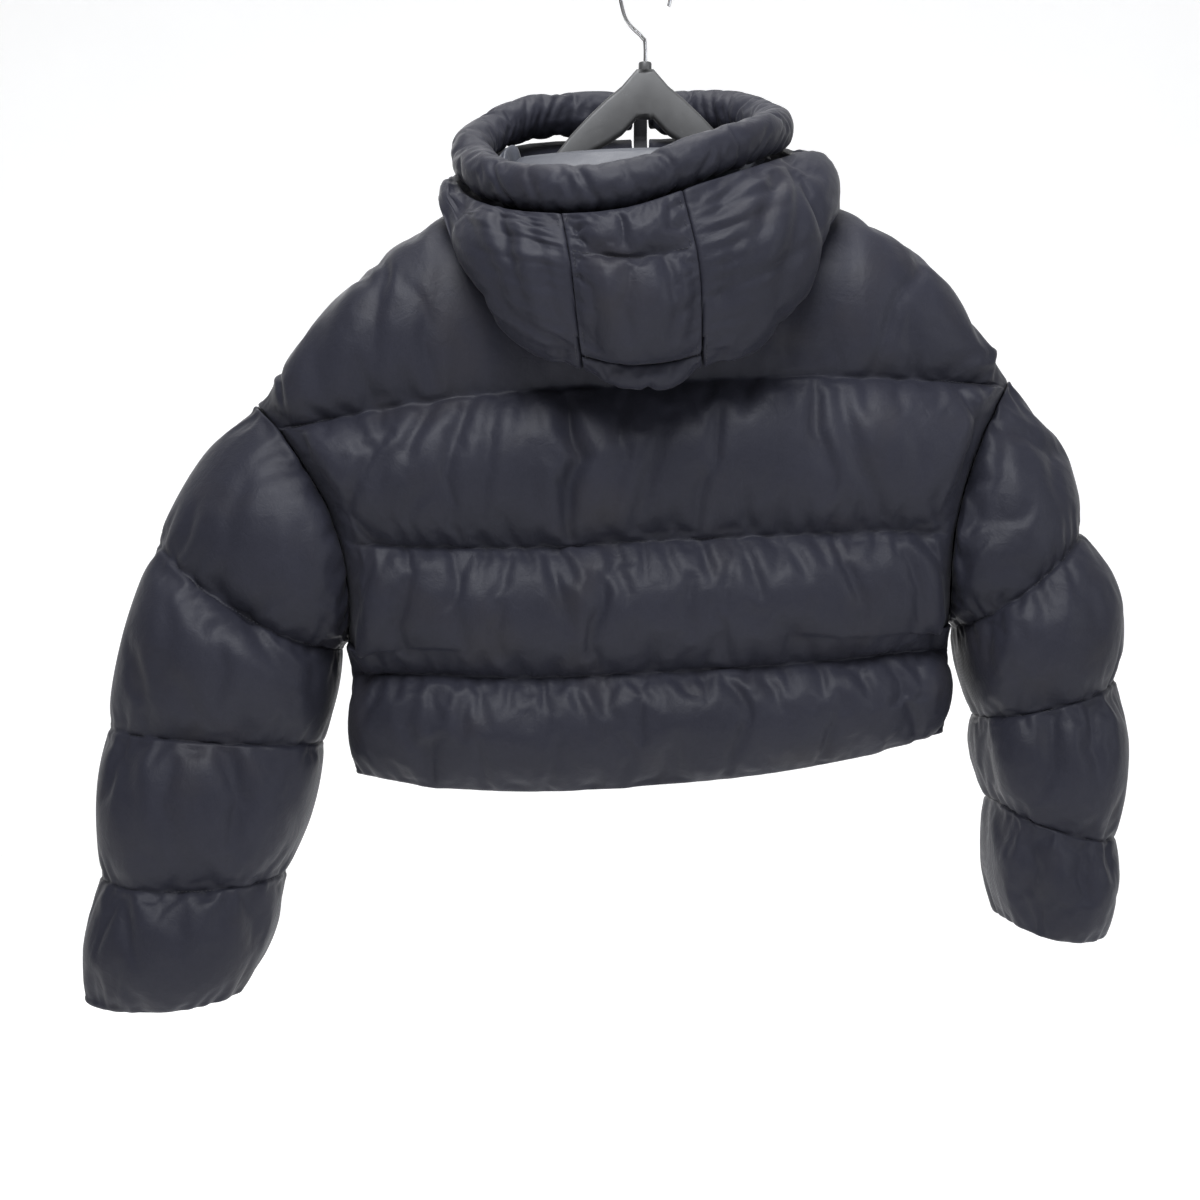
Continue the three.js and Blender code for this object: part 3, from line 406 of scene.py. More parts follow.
def through(keys, values, at, period=0):
    """A smooth value through the rows of a table. values may hold a row for each place."""
    keys = np.asarray(keys, float)
    values = np.asarray(values, float)
    n = len(keys)
    if period:
        k = np.concatenate([[keys[-1] - period], keys, [keys[0] + period, keys[1] + period]])
        v = np.concatenate([values[-1:], values, values[:2]])
        last = n - 1
    else:
        k = np.concatenate([keys[:1], keys, keys[-1:]])
        v = np.concatenate([values[:1], values, values[-1:]])
        last = n - 2
    at = np.asarray(at, float)
    i = np.clip(np.searchsorted(k[2:2 + last], at, side="left"), 0, last)
    each = (np.arange(at.size),) if values.ndim > 1 and values.shape[1] == at.size else ()

    def row(j):
        return v[(j, *each)]

    span = k[i + 2] - k[i + 1]
    t = np.clip((at - k[i + 1]) / span, 0, 1)
    slope_a = span / (k[i + 2] - k[i])
    slope_b = span / (k[i + 3] - k[i + 1])
    if row(i).ndim > at.ndim:
        t, slope_a, slope_b = t[:, None], slope_a[:, None], slope_b[:, None]
    a, b = row(i + 1), row(i + 2)
    c = (row(i + 2) - row(i)) * slope_a
    d = (row(i + 3) - row(i + 1)) * slope_b
    t2, t3 = t * t, t * t * t
    return a * (2 * t3 - 3 * t2 + 1) + c * (t3 - 2 * t2 + t) + b * (3 * t2 - 2 * t3) + d * (t3 - t2)


def swell(share):
    t = np.clip(share, 0, 1) ** 0.9
    return np.abs(np.sin(np.pi * t)) ** 0.72


def armhole(side, degrees, face):
    hole = ARMHOLES[side]
    a = np.radians(degrees)
    share = 0.5 + 0.5 * np.cos(a)
    return places(
        mix(hole["footX"], hole["topX"], share) - hole["sign"] * hole["scoop"] * np.sin(a) ** 2,
        face * hole["depth"] * np.sin(a),
        mix(hole["footZ"], hole["topZ"], share),
    )


def armhole_normal(side, degrees, face):
    hole = ARMHOLES[side]
    here = armhole(side, degrees, face)
    along = unit(armhole(side, degrees + 1, face) - armhole(side, degrees - 1, face))
    middle = np.array([(hole["topX"] + hole["footX"]) / 2, 0, (hole["topZ"] + hole["footZ"]) / 2])
    out = here - middle
    return unit(out - along * np.sum(out * along, axis=-1, keepdims=True))


def side_edge(side, row, face):
    hole = ARMHOLES[side]
    angles = [0, BODY_SEAMS[0][side], BODY_SEAMS[1][side], 180]
    angle = through([0, 1, 2, ARMHOLE_FOOT_ROW], angles, np.minimum(row, ARMHOLE_FOOT_ROW))
    seam = SIDE_SEAMS[side]
    rows = [ARMHOLE_FOOT_ROW, 3, HEM_ROW]
    low = np.maximum(row, ARMHOLE_FOOT_ROW)
    below = places(through(rows, seam["x"], low), 0, through(rows, seam["z"], low))
    upper = (row <= ARMHOLE_FOOT_ROW)[:, None]
    at = np.where(upper, armhole(side, angle, face), below)
    normal = np.where(upper, armhole_normal(side, angle, face), np.array([hole["sign"], 0, 0.0]))
    return at, normal


LINE_X = [-x for x, z in SHOULDER_LINE]
LINE_Z = [z for x, z in SHOULDER_LINE]


def top_edge(x, face):
    z = through(LINE_X, LINE_Z, -x)
    across = np.clip((x - NECK["x"]) / NECK["half"], -1, 1)
    round_ = np.sqrt(np.maximum(1 - across * across, 0))
    depth = NECK["backDepth"] if face > 0 else NECK["frontDepth"]
    drop = NECK["backDrop"] if face > 0 else NECK["frontDrop"]
    return face * depth * round_, z + drop * round_ * round_


def body_base(u, row, face):
    left = side_edge("left", row, face)[0]
    right = side_edge("right", row, face)[0]
    x = mix(left[:, 0], right[:, 0], u)
    side_y = mix(left[:, 1], right[:, 1], u)
    bulge = np.maximum(1 - np.abs(2 * u - 1) ** 2.6, 0) ** (1 / 2.6)
    heights = [through(SEAM_PLACES, seam["z"], u) for seam in BODY_SEAMS]
    seam_rows = [1, 2, 3, 4]
    depths = [seam["depth"] for seam in BODY_SEAMS]
    full_y = face * through(seam_rows, depths, np.maximum(row, 1))
    wall_y = mix(side_y, full_y, bulge)
    fade = (1 - smooth(u, 0, 0.14)) + smooth(u, 0.86, 1)
    side_z = np.where(u < 0.5, left[:, 2], right[:, 2])
    height = through(seam_rows, heights, np.maximum(row, 1))
    low = places(x, wall_y, mix(height, side_z, fade))
    top_y, top_z = top_edge(x, face)
    share = np.clip(row, 0, 1)
    y = mix(top_y, wall_y, np.sin(np.pi / 2 * share ** 0.75))
    z = mix(top_z, heights[0], mix(share, 1 - np.cos(np.pi / 2 * share), 0.5))
    high = places(x, mix(y, side_y, fade * (1 - bulge)), mix(z, side_z, fade))
    return np.where((row >= 1)[:, None], low, high)


def body_normal(u, row, face):
    step = 0.004
    a = np.clip(u, step, 1 - step)
    b = np.clip(row, 5 * step, HEM_ROW - 5 * step)
    across = body_base(a + step, b, face) - body_base(a - step, b, face)
    down = body_base(a, b + step, face) - body_base(a, b - step, face)
    open_ = unit(np.cross(across, down)) * -face
    edge = np.where((u < 0.5)[:, None], side_edge("left", row, face)[1], side_edge("right", row, face)[1])
    fade = 1 - smooth(np.minimum(u, 1 - u), 0, 0.05)
    normal = unit(mix(open_, edge, fade[:, None]))
    on_shoulder = (row == 0) & (body_base(u, row, face)[:, 1] == 0)
    on_side = (row >= ARMHOLE_FOOT_ROW) & ((u == 0) | (u == 1))
    level = normal * np.array([1, 0, 1])
    return np.where((on_shoulder | on_side)[:, None], unit(level), normal)


def body_outer(u, row, face, fullness=1.0, relief=None):
    share = row - np.minimum(np.floor(row), HEM_ROW - 1)
    side = smooth(np.minimum(u, 1 - u), 0, 0.06) ** 0.6
    base = body_base(u, row, face)
    near_zip = np.abs(base[:, 0] - FRONT_X)
    zip_ = smooth(near_zip, ZIP_HALF - 3, ZIP_REACH) ** 0.6 if face < 0 else 1
    near_neck = np.where(row < 1, 1 - smooth(np.abs(base[:, 0] - NECK["x"]), 120, 230), 0)
    puff = BODY_PUFF * swell(share) * side * zip_ * (1 - NECK_PRESS * near_neck * (1 - 0.6 * share))
    lift = SHELL + puff * fullness
    normal = body_normal(u, row, face)
    if relief is not None:
        lift = lift - relief(base, share) * np.minimum(1, (puff + 4) / 12) * (1 - 0.7 * near_neck)
    return base + normal * lift[:, None]


def body_inner(u, row, face):
    return body_base(u, row, face) - body_normal(u, row, face) * LINING


def spread(count, crowd=0.55):
    t = np.arange(count + 1) / count
    return mix(t, 0.5 - 0.5 * np.cos(np.pi * t), crowd)


def rows_of(starts, steps, crowd=0.7):
    rows = [starts[0]]
    for low, high in zip(starts, starts[1:]):
        rows += [mix(low, high, t) for t in spread(steps, crowd)[1:]]
    return np.array(rows)


# Meshes


def new_piece(name, points, faces):
    """A closed mesh from places in millimetres, with its faces turned out."""
    mesh = bpy.data.meshes.new(name)
    mesh.from_pydata((points / 1000).tolist(), [], faces)
    piece = bpy.data.objects.new(name, mesh)
    bpy.context.scene.collection.objects.link(piece)
    if signed_volume(mesh) < 0:
        mesh.flip_normals()
    return piece


def closed_wall(name, outer, inner, round_=False):
    """A closed mesh from a grid of outer places and one of inner places, which share their edges."""
    points = np.concatenate([outer.reshape(-1, 3), inner.reshape(-1, 3)])
    o = np.arange(outer.shape[0] * outer.shape[1]).reshape(outer.shape[:2])
    n = np.arange(inner.shape[0] * inner.shape[1]).reshape(inner.shape[:2]) + o.size
    faces = []

    def skin(ids, turned):
        if round_:
            ids = np.concatenate([ids, ids[:, :1]], axis=1)
        p, q, s, t = ids[:-1, :-1], ids[:-1, 1:], ids[1:, :-1], ids[1:, 1:]
        quads = np.stack([p, q, t, s] if turned else [p, s, t, q], axis=-1).reshape(-1, 4)
        faces.extend(quads.tolist())

    def bridge(a, b, turned):
        if round_ and len(a) > 1:
            a, b = np.append(a, a[0]), np.append(b, b[0])
        i = j = 0
        na, nb = len(a) - 1, len(b) - 1
        while i < na or j < nb:
            step_a = j >= nb or (i < na and (i + 1) * nb <= (j + 1) * na)
            third = a[i + 1] if step_a else b[j + 1]
            corner = [int(a[i]), int(third), int(b[j])] if turned else [int(a[i]), int(b[j]), int(third)]
            faces.append(corner)
            i, j = (i + 1, j) if step_a else (i, j + 1)

    skin(o, False)
    skin(n, True)
    bridge(o[0], n[0], True)
    bridge(o[-1], n[-1], False)
    if not round_:
        bridge(o[:, 0], n[:, 0], False)
        bridge(o[:, -1], n[:, -1], True)
    return new_piece(name, points, faces)


def signed_volume(mesh):
    mesh.calc_loop_triangles()
    corners = np.zeros(len(mesh.loop_triangles) * 3, np.int32)
    mesh.loop_triangles.foreach_get("vertices", corners)
    p = read_places(mesh)[corners].reshape(-1, 3, 3)
    return np.einsum("ij,ij->i", p[:, 0], np.cross(p[:, 1], p[:, 2])).sum() / 6


def read_places(mesh):
    co = np.zeros(len(mesh.vertices) * 3)
    mesh.vertices.foreach_get("co", co)
    return co.reshape(-1, 3)


def only(piece):
    bpy.ops.object.select_all(action="DESELECT")
    piece.select_set(True)
    bpy.context.view_layer.objects.active = piece


def apply_all(piece):
    only(piece)
    for modifier in list(piece.modifiers):
        bpy.ops.object.modifier_apply(modifier=modifier.name)


INNER_CAP = 0.5  # millimetres that a wall's inner skin, or a tube's end, may move


def fill_with_down(piece, pinned, cap_mm, pressure=4.0, growth=0.05, frames=20):
    """The cloth swells between its seams. pinned is a hold for each vertex: 1 on a seam."""
    scene = bpy.context.scene
    group = piece.vertex_groups.new(name="seams")
    for hold in np.unique(np.round(pinned, 2)):
        if hold > 0:
            group.add(np.nonzero(np.round(pinned, 2) == hold)[0].tolist(), float(hold), "REPLACE")
    start = read_places(piece.data)
    cloth = piece.modifiers.new("down", "CLOTH")
    settings = cloth.settings
    settings.quality = 5
    settings.mass = 0.004
    settings.air_damping = 2
    settings.tension_stiffness = 12
    settings.compression_stiffness = 12
    settings.shear_stiffness = 4
    settings.bending_stiffness = 0.02
    settings.use_pressure = True
    settings.uniform_pressure_force = pressure
    settings.shrink_min = -growth
    settings.vertex_group_mass = "seams"
    settings.pin_stiffness = 2
    settings.effector_weights.gravity = 0
    cloth.collision_settings.use_collision = False
    cloth.point_cache.frame_start = 1
    cloth.point_cache.frame_end = frames
    for number in range(1, frames + 1):
        scene.frame_set(number)
    shaped = piece.evaluated_get(bpy.context.evaluated_depsgraph_get())
    moved = read_places(shaped.data) - start
    piece.modifiers.remove(cloth)
    scene.frame_set(1)
    far = np.linalg.norm(moved, axis=1, keepdims=True)
    cap = np.asarray(cap_mm, float).reshape(-1, 1) / 1000
    moved *= np.where(far > 0, cap * np.tanh(far / cap) / np.maximum(far, 1e-9), 1)
    piece.data.vertices.foreach_set("co", (start + moved).ravel())
    piece.data.update()
    piece.vertex_groups.clear()


def fill_wall(piece, hold, cap, inner):
    """Fills a wall whose inner skin is held and hardly moves."""
    count = inner.shape[0] * inner.shape[1]
    pins = np.concatenate([np.ravel(hold), np.ones(count)])
    fill_with_down(piece, pins, np.concatenate([np.ravel(cap), np.full(count, INNER_CAP)]))


def finish_piece(piece, body, material, nodes=(), levels=1):
    if levels:
        sub = piece.modifiers.new("rounding", "SUBSURF")
        sub.levels = levels
        sub.render_levels = levels
        apply_all(piece)
    piece.data.materials.clear()
    piece.data.materials.append(material)
    piece.data.polygons.foreach_set("use_smooth", [True] * len(piece.data.polygons))
    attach(piece, body)
    if nodes:
        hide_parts(*nodes)
    piece.select_set(False)
    return piece


# Creases: troughs along lines on the outer cloth, in millimetres across (x) and up (z) as seen
# from the back or the front, with a half width and a depth

CREASE_SHARE = 0.7  # the rest of a crease comes from the cloth run


class Creases:
    def __init__(self, rows):
        self.rows = rows

    def depth(self, at):
        """How deep the troughs are at places (x, z)."""
        total = np.zeros(len(at))
        for line, half, deep in self.rows:
            line = np.array(line, float)
            near = np.full(len(at), 1e9)
            along = np.zeros(len(at))
            lengths = np.linalg.norm(np.diff(line, axis=0), axis=1)
            whole = lengths.sum()
            gone = 0
            box = (at > line.min(0) - 4 * half).all(1) & (at < line.max(0) + 4 * half).all(1)
            spots = np.nonzero(box)[0]
            for a, b, length in zip(line, line[1:], lengths):
                t = np.clip((at[spots] - a) @ (b - a) / length ** 2, 0, 1)
                off = np.linalg.norm(at[spots] - (a + t[:, None] * (b - a)), axis=1)
                closer = off < near[spots]
                near[spots] = np.where(closer, off, near[spots])
                along[spots] = np.where(closer, (gone + t * length) / whole, along[spots])
                gone += length
            ends = np.abs(np.sin(np.pi * np.clip(along, 0, 1) ** 0.9)) ** 0.55
            trough = np.exp(-(near / half) ** 2) - 0.28 * np.exp(-((near - 2.2 * half) / (1.3 * half)) ** 2)
            total += CREASE_SHARE * deep * trough * ends
        return total


def gathers(length, pitch, reach, deep, seed):
    """Short pinches along a seam: where they start, how far they reach, how they lean."""
    dice = np.random.default_rng(seed)
    count = max(3, int(length / pitch))
    at = (np.arange(count) + dice.uniform(-0.38, 0.38, count)) / count
    return dict(
        at=at, reach=reach * dice.uniform(0.45, 1.5, count), deep=deep * dice.uniform(0.4, 1.35, count),
        lean=dice.uniform(-1, 1, count), half=dice.uniform(2.2, 4.6, count), length=length,
    )


def pinch(rows, along_mm, off_mm, lean=0.35):
    """Depth of a seam's pinches at places along it and off it."""
    total = np.zeros(len(along_mm))
    near = off_mm < 90
    for i, at in enumerate(rows["at"]):
        where = along_mm[near] - at * rows["length"] - rows["lean"][i] * lean * off_mm[near]
        width = rows["half"][i] * (1 + off_mm[near] / 30)
        fade = np.exp(-(off_mm[near] / rows["reach"][i]) ** 2)
        total[near] += rows["deep"][i] * fade * np.exp(-(where / width) ** 2)
    return total


def soft_lumps(at, size, height, seed):
    """Down that lies unevenly: a few broad waves, the same every run."""
    dice = np.random.default_rng(seed)
    total = np.zeros(len(at))
    for k in range(9):
        way = unit(dice.normal(size=3))
        turn = dice.uniform(0, 2 * np.pi)
        scale = size * dice.uniform(0.7, 1.6)
        total += np.sin(at @ way * 2 * np.pi / scale + turn)
    return height * total / 3


# Back and fronts

BACK_CREASES = Creases([
    ([(193, -325), (199, -365), (195, -410)], 7, 7),
    ([(164, -352), (159, -383), (155, -405)], 6, 5),
    ([(224, -296), (240, -343), (247, -414)], 8, 5),
    ([(267, -316), (285, -370), (292, -423)], 7, 5),
    ([(320, -387), (324, -414), (329, -446)], 6, 5),
    ([(128, -352), (122, -379), (123, -404)], 6, 4),
    ([(-101, -352), (-137, -368), (-181, -371)], 9, 3),
    ([(-208, -334), (-231, -365), (-242, -393)], 8, 3),
    ([(245, -464), (260, -491), (270, -515)], 5, 6),
    ([(219, -455), (234, -475), (242, -494)], 5, 6),
    ([(196, -421), (210, -450), (219, -480)], 6, 7),
    ([(217, -524), (208, -504), (192, -492)], 5, 6),
    ([(139, -412), (140, -448), (149, -526)], 6, 8),
    ([(173, -441), (177, -477), (170, -513)], 6, 4),
    ([(78, -409), (71, -441), (62, -464), (71, -492), (71, -526), (68, -542)], 7, 12),
    ([(101, -450), (106, -486), (98, -522)], 6, 4),
    ([(29, -414), (23, -459), (34, -522)], 7, 4),
    ([(-17, -437), (-1, -481), (13, -533)], 6, 7),
    ([(-65, -414), (-58, -450), (-61, -477)], 6, 3),
    ([(-110, -477), (-103, -504), (-108, -531)], 5, 4),
    ([(-172, -398), (-178, -437), (-189, -473), (-204, -500), (-209, -522)], 7, 10),
    ([(-231, -432), (-240, -464), (-237, -495)], 6, 4),
    ([(-281, -406), (-299, -437), (-289, -486)], 7, 8),
    ([(-262, -477), (-258, -504), (-264, -524)], 6, 5),
    ([(247, -558), (256, -594), (251, -630)], 6, 5),
    ([(213, -571), (220, -612), (211, -643)], 7, 5),
    ([(164, -558), (170, -594), (159, -639)], 7, 4),
    ([(128, -594), (134, -621), (128, -648)], 6, 4),
    ([(88, -547), (79, -585), (67, -625)], 7, 8),
    ([(74, -552), (68, -569), (65, -584)], 5, 5),
    ([(47, -552), (45, -576), (49, -597)], 5, 6),
    ([(31, -557), (47, -612), (52, -646)], 6, 7),
    ([(24, -566), (18, -585), (19, -603)], 5, 4),
    ([(10, -609), (14, -628), (10, -650)], 5, 5),
    ([(-38, -567), (-33, -603), (-40, -630)], 7, 3),
    ([(-85, -538), (-94, -567), (-101, -594)], 6, 5),
    ([(-130, -543), (-136, -558), (-142, -575)], 5, 5),
    ([(-181, -558), (-189, -594), (-183, -630)], 7, 4),
    ([(-245, -534), (-259, -551), (-266, -568)], 5, 6),
    ([(-231, -544), (-240, -576), (-242, -612)], 6, 4),
    ([(111, -666), (109, -676), (111, -687)], 4, 5),
    ([(67, -671), (63, -683), (61, -694)], 4, 5),
    ([(47, -669), (41, -685), (36, -699)], 5, 5),
    ([(-26, -662), (-33, -673), (-40, -683)], 4, 5),
    ([(204, -683), (209, -703), (204, -724)], 5, 4),
    ([(159, -674), (163, -697), (158, -719)], 5, 4),
    ([(7, -683), (9, -703), (2, -721)], 5, 3),
    ([(-74, -665), (-85, -683), (-90, -703)], 5, 5),
    ([(-101, -658), (-111, -674), (-117, -694)], 5, 4),
    ([(-181, -652), (-192, -670), (-198, -691)], 5, 5),
    ([(-213, -648), (-223, -664), (-226, -683)], 5, 4),
])

FRONT_CREASES = Creases([
    ([(-150, -310), (-140, -395)], 7, 6),
    ([(140, -300), (155, -400)], 7, 6),
    ([(-215, -420), (-240, -520)], 6, 6),
    ([(-95, -405), (-80, -470), (-90, -530)], 6, 6),
    ([(120, -405), (100, -480), (105, -535)], 7, 7),
    ([(230, -440), (250, -530)], 6, 6),
    ([(-140, -560), (-120, -640)], 6, 5),
    ([(150, -560), (170, -640)], 6, 5),
    ([(60, -560), (52, -620)], 6, 5),
    ([(-70, -680), (-82, -730)], 5, 5),
    ([(95, -680), (110, -735)], 5, 5),
])


def body_relief(creases, seed):
    width = 560
    rows = [[gathers(width, 19, 26, 4.2, seed + 10 * k + side) for side in (0, 1)] for k in range(5)]

    def relief(base, share, u, row):
        total = creases.depth(base[:, [0, 2]])
        baffle = np.minimum(np.floor(row), HEM_ROW - 1).astype(int)
        for k in range(HEM_ROW):
            here = baffle == k
            height = (120, 128, 116, 108)[k]
            strength = 0.25 if k == 0 else 1
            off = share[here] * height
            total[here] += strength * pinch(rows[k][1], u[here] * width, off)
            strength = 0.8 if k == 3 else 1
            total[here] += strength * pinch(rows[k + 1][0], u[here] * width, height - off)
        return total + soft_lumps(base, 95, 1.6, seed)

    return relief


def body_grid(face, half, columns, steps, surface):
    """Places of a body panel on a grid, kept clear of the seam planes and the centre front."""
    rows = rows_of([0, 1, 2, 3, 4], steps, 0.45)
    shares = spread(columns, 0.25)
    row, share = [g.ravel() for g in np.meshgrid(rows, shares, indexing="ij")]
    left = side_edge("left", row, face)[0][:, 0]
    right = side_edge("right", row, face)[0][:, 0]
    low = (left - FRONT_X + ZIP_HALF) / (left - right) if half == "right" else np.zeros(len(row))
    high = (left - FRONT_X - ZIP_HALF) / (left - right) if half == "left" else np.ones(len(row))
    u = mix(low, high, share)
    p = surface(u, row, face)
    if half:
        edge = share == (1 if half == "left" else 0)
        p[edge, 0] = FRONT_X + (1 if half == "left" else -1) * ZIP_HALF
    p[:, 1] = face * np.maximum(face * p[:, 1], SEAM_GAP)
    size = (len(rows), len(shares), 3)
    return p.reshape(size), u.reshape(size[:2]), row.reshape(size[:2]), share.reshape(size[:2])


def body_panel(name, face, half, columns, steps, creases, seed):
    relief = body_relief(creases, seed)

    def outer(u, row, side):
        return body_outer(u, row, side, 0.86, lambda base, share: relief(base, share, u, row))

    grid, u, row, share = body_grid(face, half, columns, steps, outer)
    inner = body_grid(face, half, max(8, columns // 5), 3, body_inner)[0]
    piece = closed_wall(name, grid, inner)
    hold = np.zeros(grid.shape[:2])
    hold[::steps, :] = 1
    hold[:, [0, -1]] = 1
    hold[:, [1, -2]] = 0.6
    under_hood = (row < 1) & (np.abs(grid[:, :, 0] - NECK["x"]) < 190)
    edge = smooth(np.minimum(share, 1 - share), 0, 0.08)
    cap = (2 + 9 * edge) * np.where(under_hood, 0.35, 1)
    fill_wall(piece, hold, cap, inner)
    return finish_piece(piece, "jacket", SHELL_CLOTH, [name.replace("padded_", "")])


body_panel("padded_back", 1, None, 118, 26, BACK_CREASES, 100)
body_panel("padded_front_left", -1, "left", 56, 22, FRONT_CREASES, 200)
body_panel("padded_front_right", -1, "right", 56, 22, FRONT_CREASES, 300)

# Sleeves

SLEEVE_RINGS = [0, 1, 2, 3, 4]


def sleeve_ring(side, ring, degrees):
    turn = np.where(degrees <= 180, degrees, 360 - degrees)
    face = np.where(degrees <= 180, 1, -1)
    if ring < 0:
        return armhole(side, turn, face)
    out_x, out_z, in_x, in_z, depth, dip = SLEEVES[side][ring][:6]
    a = np.radians(degrees)

    def blunt(value):
        return np.sign(value) * np.abs(value) ** 0.86

    across = 0.5 + 0.5 * blunt(np.cos(a))
    return places(
        mix(in_x, out_x, across), depth * blunt(np.sin(a)), mix(in_z, out_z, across) - dip * np.sin(a) ** 2
    )


def sleeve_base(side, degrees, ring):
    stops = np.stack([sleeve_ring(side, k - 1, degrees) for k in SLEEVE_RINGS])
    return through(SLEEVE_RINGS, stops, ring)


def sleeve_normal(side, degrees, ring):
    at = np.clip(ring, 0.02, 3.98)
    around = sleeve_base(side, (degrees + 3) % 360, at) - sleeve_base(side, (degrees - 3) % 360, at)
    along = sleeve_base(side, degrees, at + 0.02) - sleeve_base(side, degrees, at - 0.02)
    open_ = unit(np.cross(around, along))
    outward = sleeve_base(side, degrees, at) - sleeve_base(side, (degrees + 180) % 360, at)
    open_ = np.where((np.sum(open_ * outward, axis=1) < 0)[:, None], -open_, open_)
    face = np.where(degrees <= 180, 1, -1)
    edge = armhole_normal(side, np.where(face > 0, degrees, 360 - degrees), face)
    return unit(mix(open_, edge, (1 - smooth(ring, 0, 0.3))[:, None]))


def sleeve_place(side, degrees, ring, outer, relief=None, fullness=1.0):
    p = sleeve_base(side, degrees, ring)
    here = sleeve_base(side, degrees, np.zeros(len(degrees)))
    inward = sleeve_base(side, degrees, np.full(len(degrees), 0.06)) - here
    seam_normal = sleeve_normal(side, degrees, np.zeros(len(degrees)))
    inward = unit(inward - seam_normal * np.sum(inward * seam_normal, axis=1, keepdims=True))
    gap = SLEEVE_GAP + SCOOP_GAP * np.sin(np.radians(degrees)) ** 2
    p = p + inward * (gap * (1 - smooth(ring, 0, 0.25)))[:, None]
    normal = sleeve_normal(side, degrees, ring)
    if not outer:
        return p - normal * LINING
    baffle = np.minimum(np.floor(ring), 3).astype(int)
    share = ring - baffle
    pads = np.array(SLEEVES[side])[baffle]
    edge = np.cos(np.radians(degrees))
    pad = mix(pads[:, 7], np.where(edge > 0, pads[:, 6], pads[:, 8]), edge ** 2)
    lift = SHELL + pad * swell(share) * fullness
    if relief is not None:
        lift = lift - relief(p, degrees, ring, share) * np.minimum(1, (pad + 2) / 18)
    return p + normal * lift[:, None]


SLEEVE_CREASES = {
    "left": Creases([
        ([(404, -576), (371, -603), (351, -637), (332, -669)], 8, 11),
        ([(361, -485), (374, -521), (377, -557)], 7, 5),
        ([(407, -507), (416, -539), (425, -557)], 6, 5),
        ([(316, -521), (319, -557), (308, -594)], 7, 5),
        ([(434, -594), (427, -630), (432, -676)], 7, 5),
        ([(384, -630), (387, -667), (394, -696)], 6, 6),
        ([(316, -648), (319, -676), (314, -698)], 5, 5),
        ([(461, -639), (454, -667), (456, -689)], 5, 4),
        ([(470, -739), (463, -776), (467, -821)], 7, 5),
        ([(429, -735), (436, -776), (428, -826)], 7, 4),
        ([(384, -730), (377, -776), (387, -821)], 7, 6),
        ([(334, -735), (339, -776), (334, -817)], 7, 5),
        ([(475, -867), (470, -894), (472, -917)], 6, 4),
        ([(425, -862), (428, -889), (421, -921)], 6, 5),
        ([(375, -858), (370, -889), (376, -917)], 6, 4),
    ]),
    "right": Creases([
        ([(-328, -449), (-324, -485), (-312, -530)], 7, 6),
        ([(-364, -458), (-363, -494), (-373, -526)], 6, 5),
        ([(-306, -494), (-297, -539), (-294, -585)], 6, 6),
        ([(-401, -558), (-392, -594), (-397, -639)], 7, 6),
        ([(-355, -585), (-361, -621), (-352, -657)], 7, 6),
        ([(-319, -612), (-323, -648), (-316, -684)], 6, 5),
        ([(-428, -585), (-424, -616), (-430, -644)], 6, 4),
        ([(-405, -684), (-399, -729), (-406, -784)], 7, 6),
        ([(-364, -698), (-370, -739), (-361, -779)], 7, 5),
        ([(-333, -711), (-328, -743), (-334, -766)], 6, 5),
        ([(-396, -820), (-392, -843), (-397, -870)], 6, 5),
        ([(-355, -811), (-359, -838), (-354, -865)], 6, 4),
    ]),
}


def sleeve_panel(side, seed):
    steps, turns = 22, 112
    round_mm = 420
    rows = [[gathers(round_mm, 17, 22, 3.6, seed + 10 * k + i) for i in (0, 1)] for k in range(5)]

    def relief(base, degrees, ring, share):
        back = smooth(np.sin(np.radians(degrees)), 0.05, 0.4)
        total = SLEEVE_CREASES[side].depth(base[:, [0, 2]]) * back
        baffle = np.minimum(np.floor(ring), 3).astype(int)
        for k in range(4):
            here = baffle == k
            height = (110, 130, 130, 105)[k]
            around = degrees[here] / 360 * round_mm
            off = share[here] * height
            total[here] += pinch(rows[k][1], around, off) + pinch(rows[k + 1][0], around, height - off)
        return total + soft_lumps(base, 85, 1.6, seed)

    rings = rows_of(SLEEVE_RINGS, steps, 0.45)
    ring, degrees = [g.ravel() for g in np.meshgrid(rings, np.arange(turns) * 360 / turns, indexing="ij")]
    outer = sleeve_place(side, degrees, ring, True, relief, 0.88).reshape(len(rings), turns, 3)
    few = rows_of(SLEEVE_RINGS, 3)
    r, d = [g.ravel() for g in np.meshgrid(few, np.arange(24) * 15.0, indexing="ij")]
    inner = sleeve_place(side, d, r, False).reshape(len(few), 24, 3)
    piece = closed_wall("padded_sleeve_" + side, outer, inner, True)
    hold = np.zeros((len(rings), turns))
    hold[::steps] = 1
    cap = 2 + 8 * smooth(np.array([sleeve_pad(side, *pair) for pair in zip(degrees, ring)]), 4, 22)
    fill_wall(piece, hold, cap, inner)
    return finish_piece(piece, "jacket", SHELL_CLOTH, ["sleeve_" + side])


def sleeve_pad(side, degrees, ring):
    row = SLEEVES[side][min(int(ring), 3)]
    edge = math.cos(math.radians(degrees))
    return mix(row[7], row[6] if edge > 0 else row[8], edge ** 2)


sleeve_panel("left", 400)
sleeve_panel("right", 500)

# Hood


def neck_place(direction):
    a = np.radians(direction)
    x = NECK["x"] + NECK["half"] * 0.999 * np.sin(a)
    left, right = ARMHOLES["left"]["topX"], ARMHOLES["right"]["topX"]
    u = (left - x) / (left - right)
    row = np.zeros(len(u))
    ahead = (np.cos(a) > 0)[:, None]
    at = np.where(ahead, body_outer(u, row, -1), body_outer(u, row, 1))
    return at + np.array([0, 0, 3 * SEAM_GAP])


HOOD_AT = [row[0] for row in HOOD]


